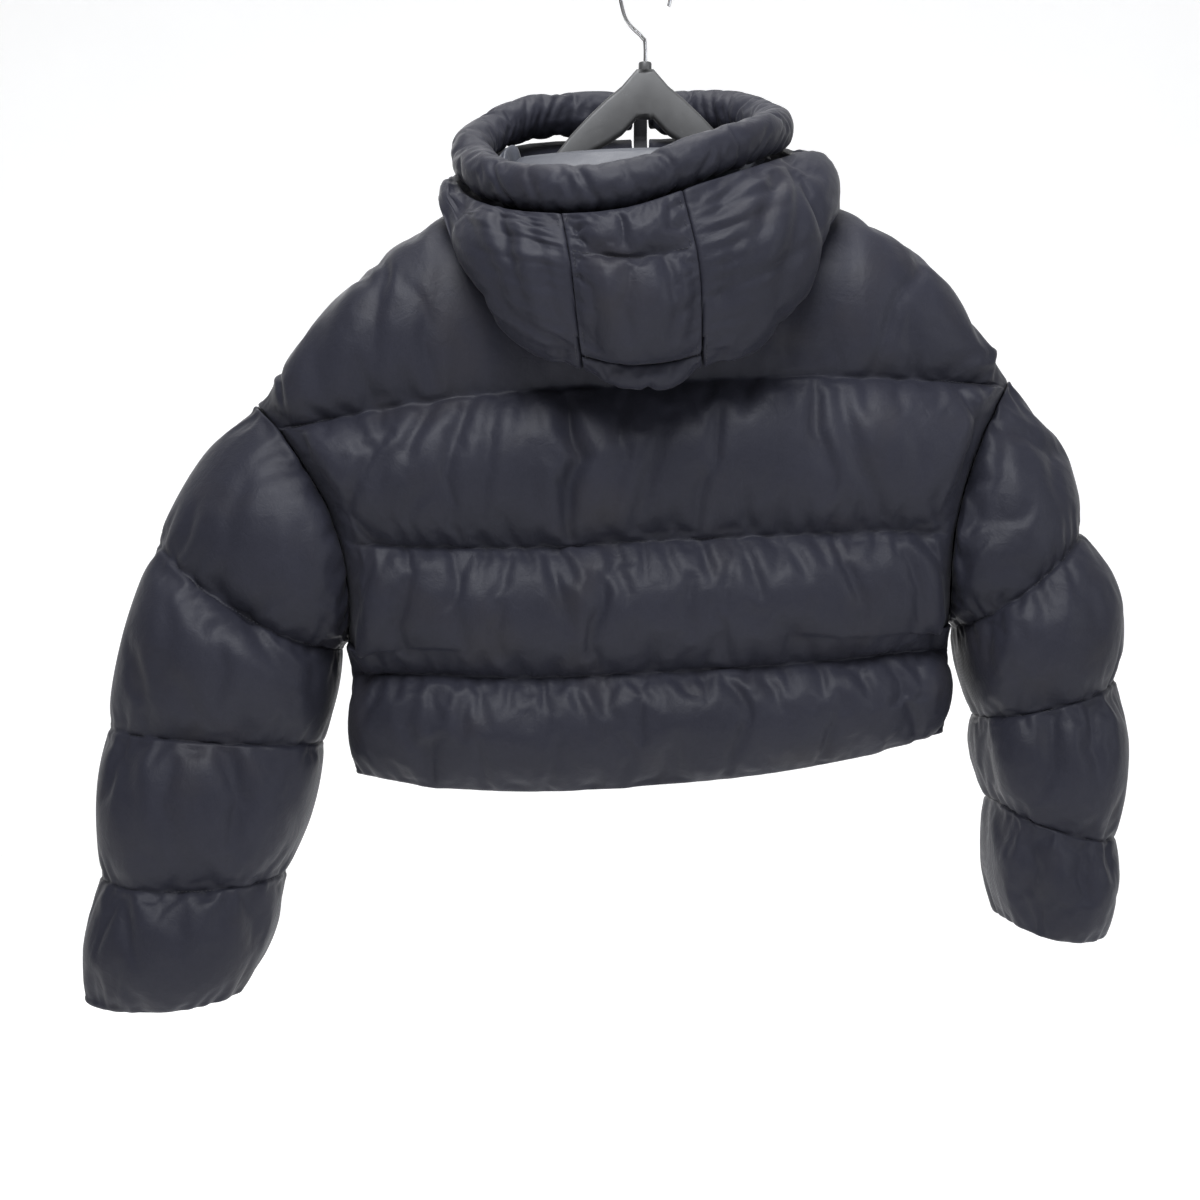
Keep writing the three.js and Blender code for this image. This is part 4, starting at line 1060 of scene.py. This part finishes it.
def hood_line(part, direction):
    at = np.asarray(direction, float) % 360
    return np.stack([through(HOOD_AT, [row[part][k] for row in HOOD], at, 360) for k in range(3)], axis=-1)


RIM, FACE, BASE = 1, 2, 3


def rim_out(direction):
    along = hood_line(RIM, direction + 2) - hood_line(RIM, direction - 2)
    return -unit(places(-along[:, 1], along[:, 0], 0))


def rim_seam(direction):
    a = math.radians(RIM_SEAM_TURN)
    out = rim_out(direction) * ((RIM_RADIUS * RIM_SQUASH + RIM_SEAM_STEP) * math.cos(a))
    return hood_line(RIM, direction) + out - np.array([0, 0, (RIM_RADIUS + RIM_SEAM_STEP) * math.sin(a)])


def hood_base(direction, stop):
    neck = neck_place(direction)
    base = hood_line(BASE, direction)
    back = smooth(-np.cos(np.radians(direction)), -0.75, 0.3)
    under = (base + neck) / 2 + places(0, 6 * back, -10 * back)
    stops = np.stack([rim_seam(direction), hood_line(FACE, direction), base, under, neck])
    return through(HOOD_STOPS, stops, stop)


def hood_normal(direction, stop):
    at = np.clip(stop, 0.015, 0.985)
    around = hood_base(direction + 1.5, at) - hood_base(direction - 1.5, at)
    along = hood_base(direction, at + 0.012) - hood_base(direction, at - 0.012)
    return -unit(np.cross(around, along))


def padding_places():
    """The body's outer cloth under the hood, with its outward directions."""
    spots, ways = [], []
    for face in (1, -1):
        row, u = [g.ravel() for g in np.meshgrid(
            rows_of([0, 1, 1.7], 16), mix(0.14, 0.86, spread(110, 0.1)), indexing="ij")]
        spots.append(body_outer(u, row, face))
        ways.append(body_normal(u, row, face))
    return np.concatenate(spots), np.concatenate(ways)


PADDING, PADDING_WAY = padding_places()
PADDING_TREE = KDTree(len(PADDING))
for number, spot in enumerate(PADDING):
    PADDING_TREE.insert(spot, number)
PADDING_TREE.balance()


NEAR_PLACES = 9
SOFT_REST = 6  # millimetres over which the lift sets in


def rest_on_body(p, clear):
    """Lifts places off the padding, by its nearest places."""
    found = [PADDING_TREE.find_n(spot, NEAR_PLACES) for spot in p]
    near = np.array([[row[1] for row in rows] for rows in found])
    off = np.array([[row[2] for row in rows] for rows in found])
    share = 1 / (off ** 2 + 20)
    share = (share / share.sum(1, keepdims=True))[:, :, None]
    way = unit((PADDING_WAY[near] * share).sum(1))
    heights = ((p[:, None] - PADDING[near]) * PADDING_WAY[near]).sum(2, keepdims=True)
    height = np.sum(heights * share, axis=(1, 2))
    gap = clear - height
    easing = (gap + SOFT_REST) ** 2 / (4 * SOFT_REST)
    lift = np.where(gap > SOFT_REST, gap, np.where(gap < -SOFT_REST, 0, easing))
    return p + way * lift[:, None]


def hood_place(direction, stop, outer, fullness, relief=None):
    p = hood_base(direction, stop)
    normal = hood_normal(direction, stop)
    a = np.radians(direction)
    normal = unit(mix(normal, places(np.sin(a), -np.cos(a), 0), smooth(stop, 0.86, 1)[:, None]))
    lift = SHELL + HOOD_PUFF * fullness if outer else np.full(len(p), -LINING)
    if relief is not None:
        lift = lift - relief(p) * np.minimum(1, fullness * 5)
    p = p + normal * lift[:, None]
    rest = [HOOD_REST[part][0 if outer else 1] for part in ("upper", "under", "neck")]
    clear = mix(mix(rest[0], rest[1], smooth(stop, 0.5, 0.66)), rest[2], smooth(stop, 0.95, 1))
    return np.where((stop < 0.05)[:, None], p, rest_on_body(p, clear))


def pad_side(share, stop):
    edges = smooth(share, 0, 0.12) * (1 - smooth(share, 0.82, 1))
    return edges ** 0.8 * swell(stop / 0.86) * mix(1, 0.15, smooth(stop, 0.6, 0.72))


def strip_edges(share):
    return (smooth(share, 0, 0.34) * (1 - smooth(share, 0.66, 1))) ** 0.8


def pad_centre(share, stop):
    band = stop < BAND_STOP
    upper = swell(stop / BAND_STOP) * 0.75
    lower = swell((stop - BAND_STOP) / (ROLL_STOP - BAND_STOP))
    return strip_edges(share) * np.where(band, upper, lower)


def pad_nape(share, stop):
    low = (stop - ROLL_STOP) / 0.28
    return np.where(low < 1, 0.7 * strip_edges(share) * swell(low), 0)


SIDE_CREASES = Creases([
    ([(156, -254), (130, -289), (112, -332)], 5, 6),
    ([(130, -256), (111, -299), (97, -350)], 5, 6),
    ([(104, -264), (88, -306), (76, -358)], 5, 5),
    ([(163, -280), (147, -324), (126, -358)], 6, 5),
    ([(152, -358), (121, -371), (86, -376)], 5, 4),
    ([(126, -315), (108, -341), (78, -363)], 4, 5),
    ([(78, -289), (67, -324), (62, -358)], 4, 4),
    ([(-123, -210), (-97, -254), (-75, -315)], 6, 6),
    ([(-128, -215), (-119, -263), (-97, -332)], 6, 6),
    ([(-132, -223), (-142, -271), (-132, -324)], 6, 5),
    ([(-114, -206), (-75, -236), (-49, -263)], 5, 5),
    ([(-149, -245), (-154, -280), (-145, -324)], 5, 4),
    ([(-79, -271), (-64, -306), (-64, -350)], 5, 5),
])
MIDDLE_CREASES = Creases([
    ([(64, -271), (56, -284), (51, -295)], 4, 4),
    ([(26, -263), (22, -276), (24, -289)], 4, 3),
    ([(-17, -254), (-16, -267), (-19, -277)], 4, 4),
    ([(51, -314), (43, -344), (46, -375)], 6, 6),
    ([(17, -306), (20, -336), (14, -370)], 6, 4),
    ([(-13, -297), (-21, -336), (-16, -370)], 6, 6),
    ([(34, -398), (29, -405), (32, -410)], 4, 3),
    ([(0, -394), (1, -403), (-2, -411)], 4, 3),
])
STOP_GAP = 0.0018


def hood_panel(name, node, ends, stops, steps, columns, pads, creases, seed, pinch_edges):
    """A hood panel between two directions, with a run of steps between its stops."""
    runs = [np.linspace(a, b, n + 1)[1:] for a, b, n in zip(stops, stops[1:], steps)]
    lines = np.concatenate([[stops[0]], *runs])
    stop, share = [g.ravel() for g in np.meshgrid(lines, spread(columns, 0.3), indexing="ij")]
    direction = mix(ends[0], ends[1], share)
    width, height = 150, 230
    edge_rows = [gathers(height, 12, 21, 4.6, seed + i) for i in (1, 2)]
    seam_rows = gathers(width, 21, 9, 2.6, seed + 3)

    def relief(base):
        back = smooth(base[:, 1], -10, 40)
        total = creases.depth(base[:, [0, 2]]) * back
        down = np.clip(stop / 0.6, 0, 1) * height
        if pinch_edges[0]:
            total = total + pinch(edge_rows[0], down, share * width)
        if pinch_edges[1]:
            total = total + pinch(edge_rows[1], down, (1 - share) * width)
        total = total + pinch(seam_rows, share * width, (stop - stops[0]) * height / 0.6)
        return total + soft_lumps(base, 60, 1.3, seed)

    outer = hood_place(direction, stop, True, pads(share, stop), relief).reshape(len(lines), columns + 1, 3)
    few = np.concatenate([[stops[0]], *[np.linspace(a, b, 5)[1:] for a, b in zip(stops, stops[1:])]])
    s, h = [g.ravel() for g in np.meshgrid(few, spread(max(6, columns // 5), 0.3), indexing="ij")]
    inner = hood_place(mix(ends[0], ends[1], h), s, False, pads(h, s))
    inner = inner.reshape(len(few), -1, 3)
    piece = closed_wall(name, outer, inner)
    hold = np.zeros((len(lines), columns + 1))
    hold[[0, -1]] = 1
    hold[:, [0, -1]] = 1
    for at in np.cumsum(steps)[:-1]:
        if abs(lines[at] - BAND_STOP) < 0.01:
            hold[at] = 1
    hidden = (stop > 0.62).reshape(hold.shape)
    hold[hidden] = 1
    cap = 1.5 + 6.5 * smooth(pads(share, stop), 0, 0.6)
    fill_wall(piece, hold, cap, inner)
    return finish_piece(piece, "jacket", SHELL_CLOTH, [node])


hood_panel(
    "padded_hood_left", "hood_side_left", (HOOD_END_GAP, SIDE_SEAM_LEFT - SEAM_LOOK),
    [0, 0.6, 1], [54, 10], 76, pad_side, SIDE_CREASES, 600, (False, True),
)
hood_panel(
    "padded_hood_right", "hood_side_right", (360 - HOOD_END_GAP, SIDE_SEAM_RIGHT + SEAM_LOOK),
    [0, 0.6, 1], [54, 10], 76, pad_side, SIDE_CREASES, 640, (False, True),
)
hood_panel(
    "padded_hood_centre", "hood_center", (SIDE_SEAM_LEFT + SEAM_LOOK, SIDE_SEAM_RIGHT - SEAM_LOOK),
    [0, BAND_STOP, ROLL_STOP - STOP_GAP], [16, 30], 40, pad_centre, MIDDLE_CREASES, 680, (True, True),
)
hood_panel(
    "padded_hood_nape", "hood_nape", (SIDE_SEAM_LEFT + SEAM_LOOK, SIDE_SEAM_RIGHT - SEAM_LOOK),
    [ROLL_STOP + STOP_GAP, 0.7, 1], [18, 8], 40, pad_nape, MIDDLE_CREASES, 720, (True, True),
)


def hood_rim():
    """The rolled edge: a padded tube, gathered along the seam that joins it to the panels."""
    stations, sides = 300, 34
    direction = np.repeat(mix(HOOD_END_GAP, 360 - HOOD_END_GAP, np.arange(stations + 1) / stations), sides)
    turn = np.tile(np.arange(sides) * 2 * np.pi / sides, stations + 1)
    number = np.repeat(np.arange(stations + 1), sides)
    end = np.minimum(number, stations - number)
    size = np.minimum(1, 0.72 + 0.28 * end / 6.5)
    seam_turn = math.radians(-RIM_SEAM_TURN)
    off = np.abs((turn - seam_turn + np.pi) % (2 * np.pi) - np.pi) * RIM_RADIUS
    inner_off = np.abs((turn - math.radians(205) + np.pi) % (2 * np.pi) - np.pi) * RIM_RADIUS
    length = 900
    along = direction / 360 * length
    relief = pinch(gathers(length, 17, 24, 3.2, 801), along, off, 0.5)
    relief = relief + pinch(gathers(length, 17, 20, 3.0, 802), along, inner_off, 0.5)
    middle = hood_line(RIM, direction)
    radius = RIM_RADIUS * size * 0.93 - relief
    out = rim_out(direction)
    p = middle + out * (RIM_SQUASH * radius * np.cos(turn))[:, None]
    p[:, 2] += radius * np.sin(turn)
    p += soft_lumps(p, 70, 1.0, 803)[:, None] * out
    grid = p.reshape(stations + 1, sides, 3)
    tube = closed_wall_tube("padded_hood_rim", grid)
    hold = np.where((off < 4) | (inner_off < 4), 1.0, 0.0)
    hold = np.append(np.where(end == 0, 1.0, hold), [1, 1])
    cap = np.append(np.full(len(p), 5.0), [INNER_CAP, INNER_CAP])
    fill_with_down(tube, hold, cap)
    return finish_piece(tube, "jacket", SHELL_CLOTH, ["hood_rim"])


def closed_wall_tube(name, grid):
    """A closed tube from rings of places, with a point in the middle of each end."""
    count, sides = grid.shape[:2]
    ids = np.arange(count * sides).reshape(count, sides)
    ids = np.concatenate([ids, ids[:, :1]], axis=1)
    quads = np.stack([ids[:-1, :-1], ids[:-1, 1:], ids[1:, 1:], ids[1:, :-1]], axis=-1).reshape(-1, 4)
    faces = quads.tolist()
    tip_a, tip_b = count * sides, count * sides + 1
    for k in range(sides):
        faces.append([tip_a, int(ids[0, k + 1]), int(ids[0, k])])
        faces.append([tip_b, int(ids[-1, k]), int(ids[-1, k + 1])])
    points = np.concatenate([grid.reshape(-1, 3), grid[0].mean(0)[None], grid[-1].mean(0)[None]])
    return new_piece(name, points, faces)


hood_rim()

# Lining that sags inside the hood: a thin sheet with soft folds of its own

LINING_SPAN = dict(start=76, end=288, sag=62, fold=8, inset=8, low=12, swell=46)
LINING_REST = 14.7


def lining_place(share, reach):
    direction = mix(LINING_SPAN["start"], LINING_SPAN["end"], share)
    back = smooth(-np.cos(np.radians(direction)), -0.3, 0.8)
    start = hood_line(RIM, direction) - rim_out(direction) * (RIM_RADIUS * 0.95)
    start[:, 2] -= LINING_SPAN["low"]
    neck = neck_place(direction)
    middle = places(NECK["x"], 0, neck[:, 2])
    end = mix(neck, middle, LINING_SPAN["inset"] / NECK["half"]) + np.array([0, 0, LINING_SPAN["inset"]])
    p = mix(start, end, reach[:, None])
    hang = np.sin(np.pi * reach ** 0.85)
    fold = LINING_SPAN["fold"] * np.sin(share * 30 + reach * 4) * np.sin(np.pi * reach)
    small = 2.6 * np.sin(share * 71 + 2.5 * np.sin(reach * 5)) * np.sin(np.pi * reach) ** 0.8
    p[:, 2] += fold + small - LINING_SPAN["sag"] * back * hang
    rise = smooth(reach, 0, 0.32) * (1 - smooth(reach, 0.32, 0.85))
    crest = 1 + 0.1 * np.sin(share * 23) + 0.05 * np.sin(share * 57 + 1)
    p[:, 2] += LINING_SPAN["swell"] * rise * crest * np.sqrt(back)
    return rest_on_body(p, LINING_REST)


def hood_lining():
    columns, rows = 170, 44
    reach, share = [g.ravel() for g in np.meshgrid(
        np.linspace(0, 1, rows + 1), np.linspace(0, 1, columns + 1), indexing="ij")]
    grid = lining_place(share, reach).reshape(rows + 1, columns + 1, 3)
    ids = np.arange(grid.shape[0] * grid.shape[1]).reshape(grid.shape[:2])
    quads = np.stack([ids[:-1, :-1], ids[:-1, 1:], ids[1:, 1:], ids[1:, :-1]], axis=-1).reshape(-1, 4)
    mesh = bpy.data.meshes.new("lining_sheet")
    mesh.from_pydata((grid.reshape(-1, 3) / 1000).tolist(), [], quads.tolist())
    sheet = bpy.data.objects.new("lining_sheet", mesh)
    bpy.context.scene.collection.objects.link(sheet)
    normals = np.zeros(len(mesh.polygons) * 3)
    mesh.polygons.foreach_get("normal", normals)
    if normals.reshape(-1, 3)[:, 2].sum() < 0:
        mesh.flip_normals()
    thick = sheet.modifiers.new("thickness", "SOLIDIFY")
    thick.thickness = 0.0006
    apply_all(sheet)
    finish_piece(sheet, "jacket", LINING_CLOTH, ["hood_lining"], 0)


hood_lining()

# Zip: tape, two rows of teeth, slider and pull

TAPE_HALF = ZIP_HALF - SEAM_GAP


def front_middle(row):
    row = np.asarray(row, float)
    left = side_edge("left", row, -1)[0][:, 0]
    right = side_edge("right", row, -1)[0][:, 0]
    return body_base((left - FRONT_X) / (left - right), row, -1)


def tape_line():
    top = hood_line(RIM, np.array([0.0])) + np.array([0, 0, RIM_RADIUS * 0.6])
    collar = hood_base(np.zeros(4), np.array([0, 0.3, 0.5, 0.8]))
    line = np.concatenate([top, collar, front_middle(rows_of([0.03, 1, 2, 3, 3.98], 3))])
    line[:, 0] = FRONT_X
    return line


def gone_along(line):
    return np.concatenate([[0], np.cumsum(np.linalg.norm(np.diff(line, axis=0), axis=1))])


def read_off(rows, gone, at):
    return np.stack([np.interp(at, gone, rows[:, k]) for k in range(3)], axis=-1)


def even(line, pitch):
    """Places along a line a fixed way apart, and the way the line goes there."""
    gone = gone_along(line)
    count = max(2, int(gone[-1] / pitch))
    spots = read_off(line, gone, np.linspace(0, gone[-1], count + 1))
    return spots, unit(np.gradient(spots, axis=0))


def blocks(name, spots, ways, sides, size, shape):
    """The same small form at many places, in one mesh. shape is its corners and its faces."""
    corners, faces = shape
    ups = np.cross(ways, sides)
    frame_ = np.stack([sides, ways, ups], axis=1)
    p = spots[:, None] + np.einsum("kc,ncd->nkd", np.array(corners) * size, frame_)
    n = len(corners)
    all_faces = [[k * n + i for i in face] for k in range(len(spots)) for face in faces]
    return new_piece(name, p.reshape(-1, 3), all_faces)


def lozenge():
    """A stitch: a short thread with pointed ends."""
    ring = [(math.cos(a), 0, math.sin(a)) for a in (0.785, 2.356, 3.927, 5.498)]
    corners = [(0, -1, -0.4)] + [(x, -0.55, z) for x, y, z in ring]
    corners += [(x, 0.55, z) for x, y, z in ring] + [(0, 1, -0.4)]
    faces = [[0, 1 + (k + 1) % 4, 1 + k] for k in range(4)]
    faces += [[1 + k, 1 + (k + 1) % 4, 5 + (k + 1) % 4, 5 + k] for k in range(4)]
    faces += [[9, 5 + k, 5 + (k + 1) % 4] for k in range(4)]
    return corners, faces


def tooth():
    """A zip tooth: a block that narrows to a head."""
    corners = [
        (-1, -0.5, -0.5), (-1, 0.5, -0.5), (-1, 0.5, 0.5), (-1, -0.5, 0.5),
        (0.1, -0.36, -0.5), (0.1, 0.36, -0.5), (0.1, 0.36, 0.5), (0.1, -0.36, 0.5),
        (1, -0.5, -0.3), (1, 0.5, -0.3), (1, 0.5, 0.3), (1, -0.5, 0.3),
    ]
    faces = [[0, 3, 2, 1], [8, 9, 10, 11]]
    for low in (0, 4):
        faces += [[low + k, low + (k + 1) % 4, low + 4 + (k + 1) % 4, low + 4 + k] for k in range(4)]
    return corners, faces


def zip_pieces():
    line = tape_line()
    spots, ways = even(line, 6)
    across = np.array([1.0, 0, 0])
    out = unit(np.cross(ways, across))
    out *= np.sign(-out[:, 1:2])
    section = [
        (-1, 0.5), (-0.42, 0.62), (-0.3, 1.0), (0.3, 1.0), (0.42, 0.62), (1, 0.5), (1, -0.5), (-1, -0.5),
    ]
    rings = np.stack([spots + across * TAPE_HALF * x + out * 1.3 * y for x, y in section], axis=1)
    tape = closed_wall_tube("zip_tape_cloth", rings)
    finish_piece(tape, "jacket", TAPE_CLOTH, ["zip_tape"], 0)
    tape.data.polygons.foreach_set("use_smooth", [False] * len(tape.data.polygons))
    teeth_at, teeth_way = even(line, 1.45)
    teeth_out = unit(np.cross(teeth_way, across))
    teeth_out *= np.sign(-teeth_out[:, 1:2])
    turn = np.where(np.arange(len(teeth_at)) % 2 == 0, 1.0, -1.0)[:, None]
    middle = teeth_at + teeth_out * 1.75 - across * 0.9 * turn
    teeth = blocks("zip_teeth", middle, teeth_way, turn * across, np.array([1.7, 2.0, 1.3]), tooth())
    finish_piece(teeth, "jacket", ZIP_METAL, (), 0)
    teeth.data.polygons.foreach_set("use_smooth", [False] * len(teeth.data.polygons))


zip_pieces()

for name in ("zip_slider", "pull_tab"):
    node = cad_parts[name]
    node.data.materials.clear()
    node.data.materials.append(ZIP_METAL)

# Stitching in the seams: short threads laid on the outer cloth


def stitch(name, line, ways_out, step=3.6, long_=1.35, thick=0.32):
    gone = gone_along(line)
    at = np.arange(step, gone[-1] - step, step)
    spots = read_off(line, gone, at)
    out = unit(read_off(ways_out, gone, at))
    along = unit(np.gradient(spots, axis=0))
    side = unit(np.cross(along, out))
    piece = blocks(name, spots + out * 0.25, along, side, np.array([thick, long_, thick]), lozenge())
    return finish_piece(piece, "jacket", THREAD, (), 0)


def body_stitches():
    for face, name in ((1, "back"), (-1, "front")):
        for row in (1, 2, 3):
            u = np.linspace(0.012, 0.988, 240)
            r = np.full(len(u), float(row))
            line = body_base(u, r, face) + body_normal(u, r, face) * SHELL
            if face > 0:
                stitch(f"stitches_{name}_{row}", line, body_normal(u, r, face))
                continue
            halves = {"left": line[:, 0] > FRONT_X + ZIP_HALF, "right": line[:, 0] < FRONT_X - ZIP_HALF}
            for half, part in halves.items():
                stitch(f"stitches_{name}_{half}_{row}", line[part], body_normal(u, r, face)[part])


def sleeve_stitches():
    for side in ("left", "right"):
        for ring in (1, 2, 3):
            degrees = np.linspace(0, 359.9, 200)
            r = np.full(len(degrees), float(ring))
            normal = sleeve_normal(side, degrees, r)
            line = sleeve_place(side, degrees, r, False) + normal * (LINING + SHELL)
            stitch(f"stitches_sleeve_{side}_{ring}", line, normal)


def hood_stitches():
    """A row of thread on each side of the hood's seams."""
    for name, direction in (("left", SIDE_SEAM_LEFT), ("right", SIDE_SEAM_RIGHT)):
        for shift in (-1.6, 1.6):
            stop = np.linspace(0.01, 0.6, 120)
            way = np.full(len(stop), direction + shift)
            normal = hood_normal(way, stop)
            line = hood_place(way, stop, True, np.zeros(len(stop)))
            where = "in" if shift * (direction - 180) < 0 else "out"
            stitch(f"stitches_hood_{name}_{where}", line, normal)
    for name, at in (("band", BAND_STOP), ("roll", ROLL_STOP - 0.006)):
        way = np.linspace(SIDE_SEAM_LEFT + 1, SIDE_SEAM_RIGHT - 1, 60)
        stop = np.full(len(way), at)
        line = hood_place(way, stop, True, np.zeros(len(way)))
        stitch(f"stitches_hood_{name}", line, hood_normal(way, stop))


body_stitches()
sleeve_stitches()
hood_stitches()

# Hanger and hook

# across from the middle, then the arm's top and its foot
ARM = [
    (0, -90, -137), (34, -116, -160), (70, -152, -182),
    (112, -202.2, -226), (165, -229.2, -250), (212, -265.2, -286),
]
HANGER_THICK = 14


def hanger_body():
    """One arm pulled out of a block, station by station, then mirrored."""
    reach = [row[0] for row in ARM]

    def size_at(x):
        top = float(through(reach, [row[1] for row in ARM], np.array([float(x)]))[0])
        foot = float(through(reach, [row[2] for row in ARM], np.array([float(x)]))[0])
        return top, foot

    top, foot = size_at(0)
    bpy.ops.mesh.primitive_cube_add(size=1, location=(0.004, 0, (top + foot) / 2000))
    arm = bpy.context.active_object
    arm.name = "hanger_moulding"
    arm.scale = (0.008, HANGER_THICK / 1000, (top - foot) / 1000)
    bpy.ops.object.transform_apply(location=True, rotation=True, scale=True)
    bpy.ops.object.mode_set(mode="EDIT")
    bpy.ops.mesh.select_mode(type="FACE")
    bpy.ops.mesh.select_all(action="DESELECT")
    bpy.ops.object.mode_set(mode="OBJECT")
    for face in arm.data.polygons:
        face.select = face.normal.x > 0.9
    bpy.ops.object.mode_set(mode="EDIT")
    at, middle, tall = 8, (top + foot) / 2, top - foot
    for x in (22, 36, 52, 70, 90, 112, 134, 156, 180, 200, 212):
        top, foot = size_at(x)
        new_middle, new_tall = (top + foot) / 2, top - foot
        bpy.ops.mesh.extrude_region_move(
            TRANSFORM_OT_translate={"value": ((x - at) / 1000, 0, (new_middle - middle) / 1000)}
        )
        bpy.ops.transform.resize(
            value=(1, 1, new_tall / tall), center_override=(x / 1000, 0, new_middle / 1000)
        )
        at, middle, tall = x, new_middle, new_tall
    bpy.ops.object.mode_set(mode="OBJECT")
    inner = [face for face in arm.data.polygons if face.normal.x < -0.9 and abs(face.center.x) < 1e-4]
    bpy.ops.object.mode_set(mode="EDIT")
    bpy.ops.mesh.select_all(action="DESELECT")
    bpy.ops.object.mode_set(mode="OBJECT")
    for face in inner:
        face.select = True
    bpy.ops.object.mode_set(mode="EDIT")
    bpy.ops.mesh.delete(type="FACE")
    bpy.ops.mesh.select_all(action="SELECT")
    bpy.ops.mesh.normals_make_consistent(inside=False)
    bpy.ops.object.mode_set(mode="OBJECT")
    other = arm.modifiers.new("other_arm", "MIRROR")
    other.merge_threshold = 0.0002
    edge = arm.modifiers.new("edge", "BEVEL")
    edge.width = 0.0042
    edge.segments = 4
    edge.limit_method = "ANGLE"
    edge.angle_limit = math.radians(50)
    apply_all(arm)
    finish_piece(arm, "jacket", PLASTIC, ["hanger"], 0)
    only(arm)
    bpy.ops.object.shade_smooth_by_angle(angle=math.radians(32))
    arm.select_set(False)


def hook_wire():
    bend, wire = 23.75, 1.9
    line = [(0, -96), (0, -66), (3, -59), (17.5, -43.5)]
    for degrees in range(0, 201, 10):
        a = math.radians(degrees)
        line.append((bend * math.cos(a), wire - bend + bend * math.sin(a)))
    line = np.array(line, float)
    keys = np.arange(len(line))
    at = np.linspace(0, len(line) - 1, 150)
    path = np.stack([through(keys, line[:, k], at) for k in (0, 1)], axis=-1)
    path = places(path[:, 0], 0, path[:, 1])
    way = unit(np.gradient(path, axis=0))
    out = unit(np.cross(way, np.array([0, 1.0, 0])))
    turn = np.arange(16) * 2 * np.pi / 16
    rings = path[:, None] + wire * (
        np.cos(turn)[None, :, None] * np.array([0, 1.0, 0]) + np.sin(turn)[None, :, None] * out[:, None]
    )
    wire_piece = closed_wall_tube("hook_wire", rings)
    finish_piece(wire_piece, "jacket", WIRE, ["hook"], 0)
    bpy.ops.mesh.primitive_cylinder_add(vertices=40, radius=0.0062, depth=0.009, location=(0, 0, -0.0875))
    collar = bpy.context.active_object
    collar.name = "hook_collar"
    bpy.ops.object.transform_apply(location=True, rotation=True, scale=True)
    edge = collar.modifiers.new("edge", "BEVEL")
    edge.width = 0.0014
    edge.segments = 3
    apply_all(collar)
    finish_piece(collar, "jacket", PLASTIC, (), 0)
    only(collar)
    bpy.ops.object.shade_smooth_by_angle(angle=math.radians(40))
    collar.select_set(False)


hanger_body()
hook_wire()

# Floor

bpy.ops.mesh.primitive_plane_add(size=24, location=(0, 0, -1.32))
floor = bpy.context.active_object
floor.name = "pale_floor"
paint = Finish("pale_floor", Emission_Strength=0.42, Emission_Color=(1, 1, 1, 1))
mottle = paint.noise(3, 3, 0.5)
paint.feed(
    Base_Color=paint.blend(mottle, (0.86, 0.86, 0.86), (0.9, 0.9, 0.9)),
    Roughness=paint.band(mottle, 0.3, 0.7, 0.55, 0.7),
)
floor.data.materials.append(paint.material)
bpy.ops.mesh.primitive_plane_add(size=24, location=(0, -4, 0), rotation=(math.pi / 2, 0, 0))
backdrop = bpy.context.active_object
backdrop.name = "pale_backdrop"
backdrop.data.materials.append(paint.material)

bpy.ops.object.select_all(action="DESELECT")
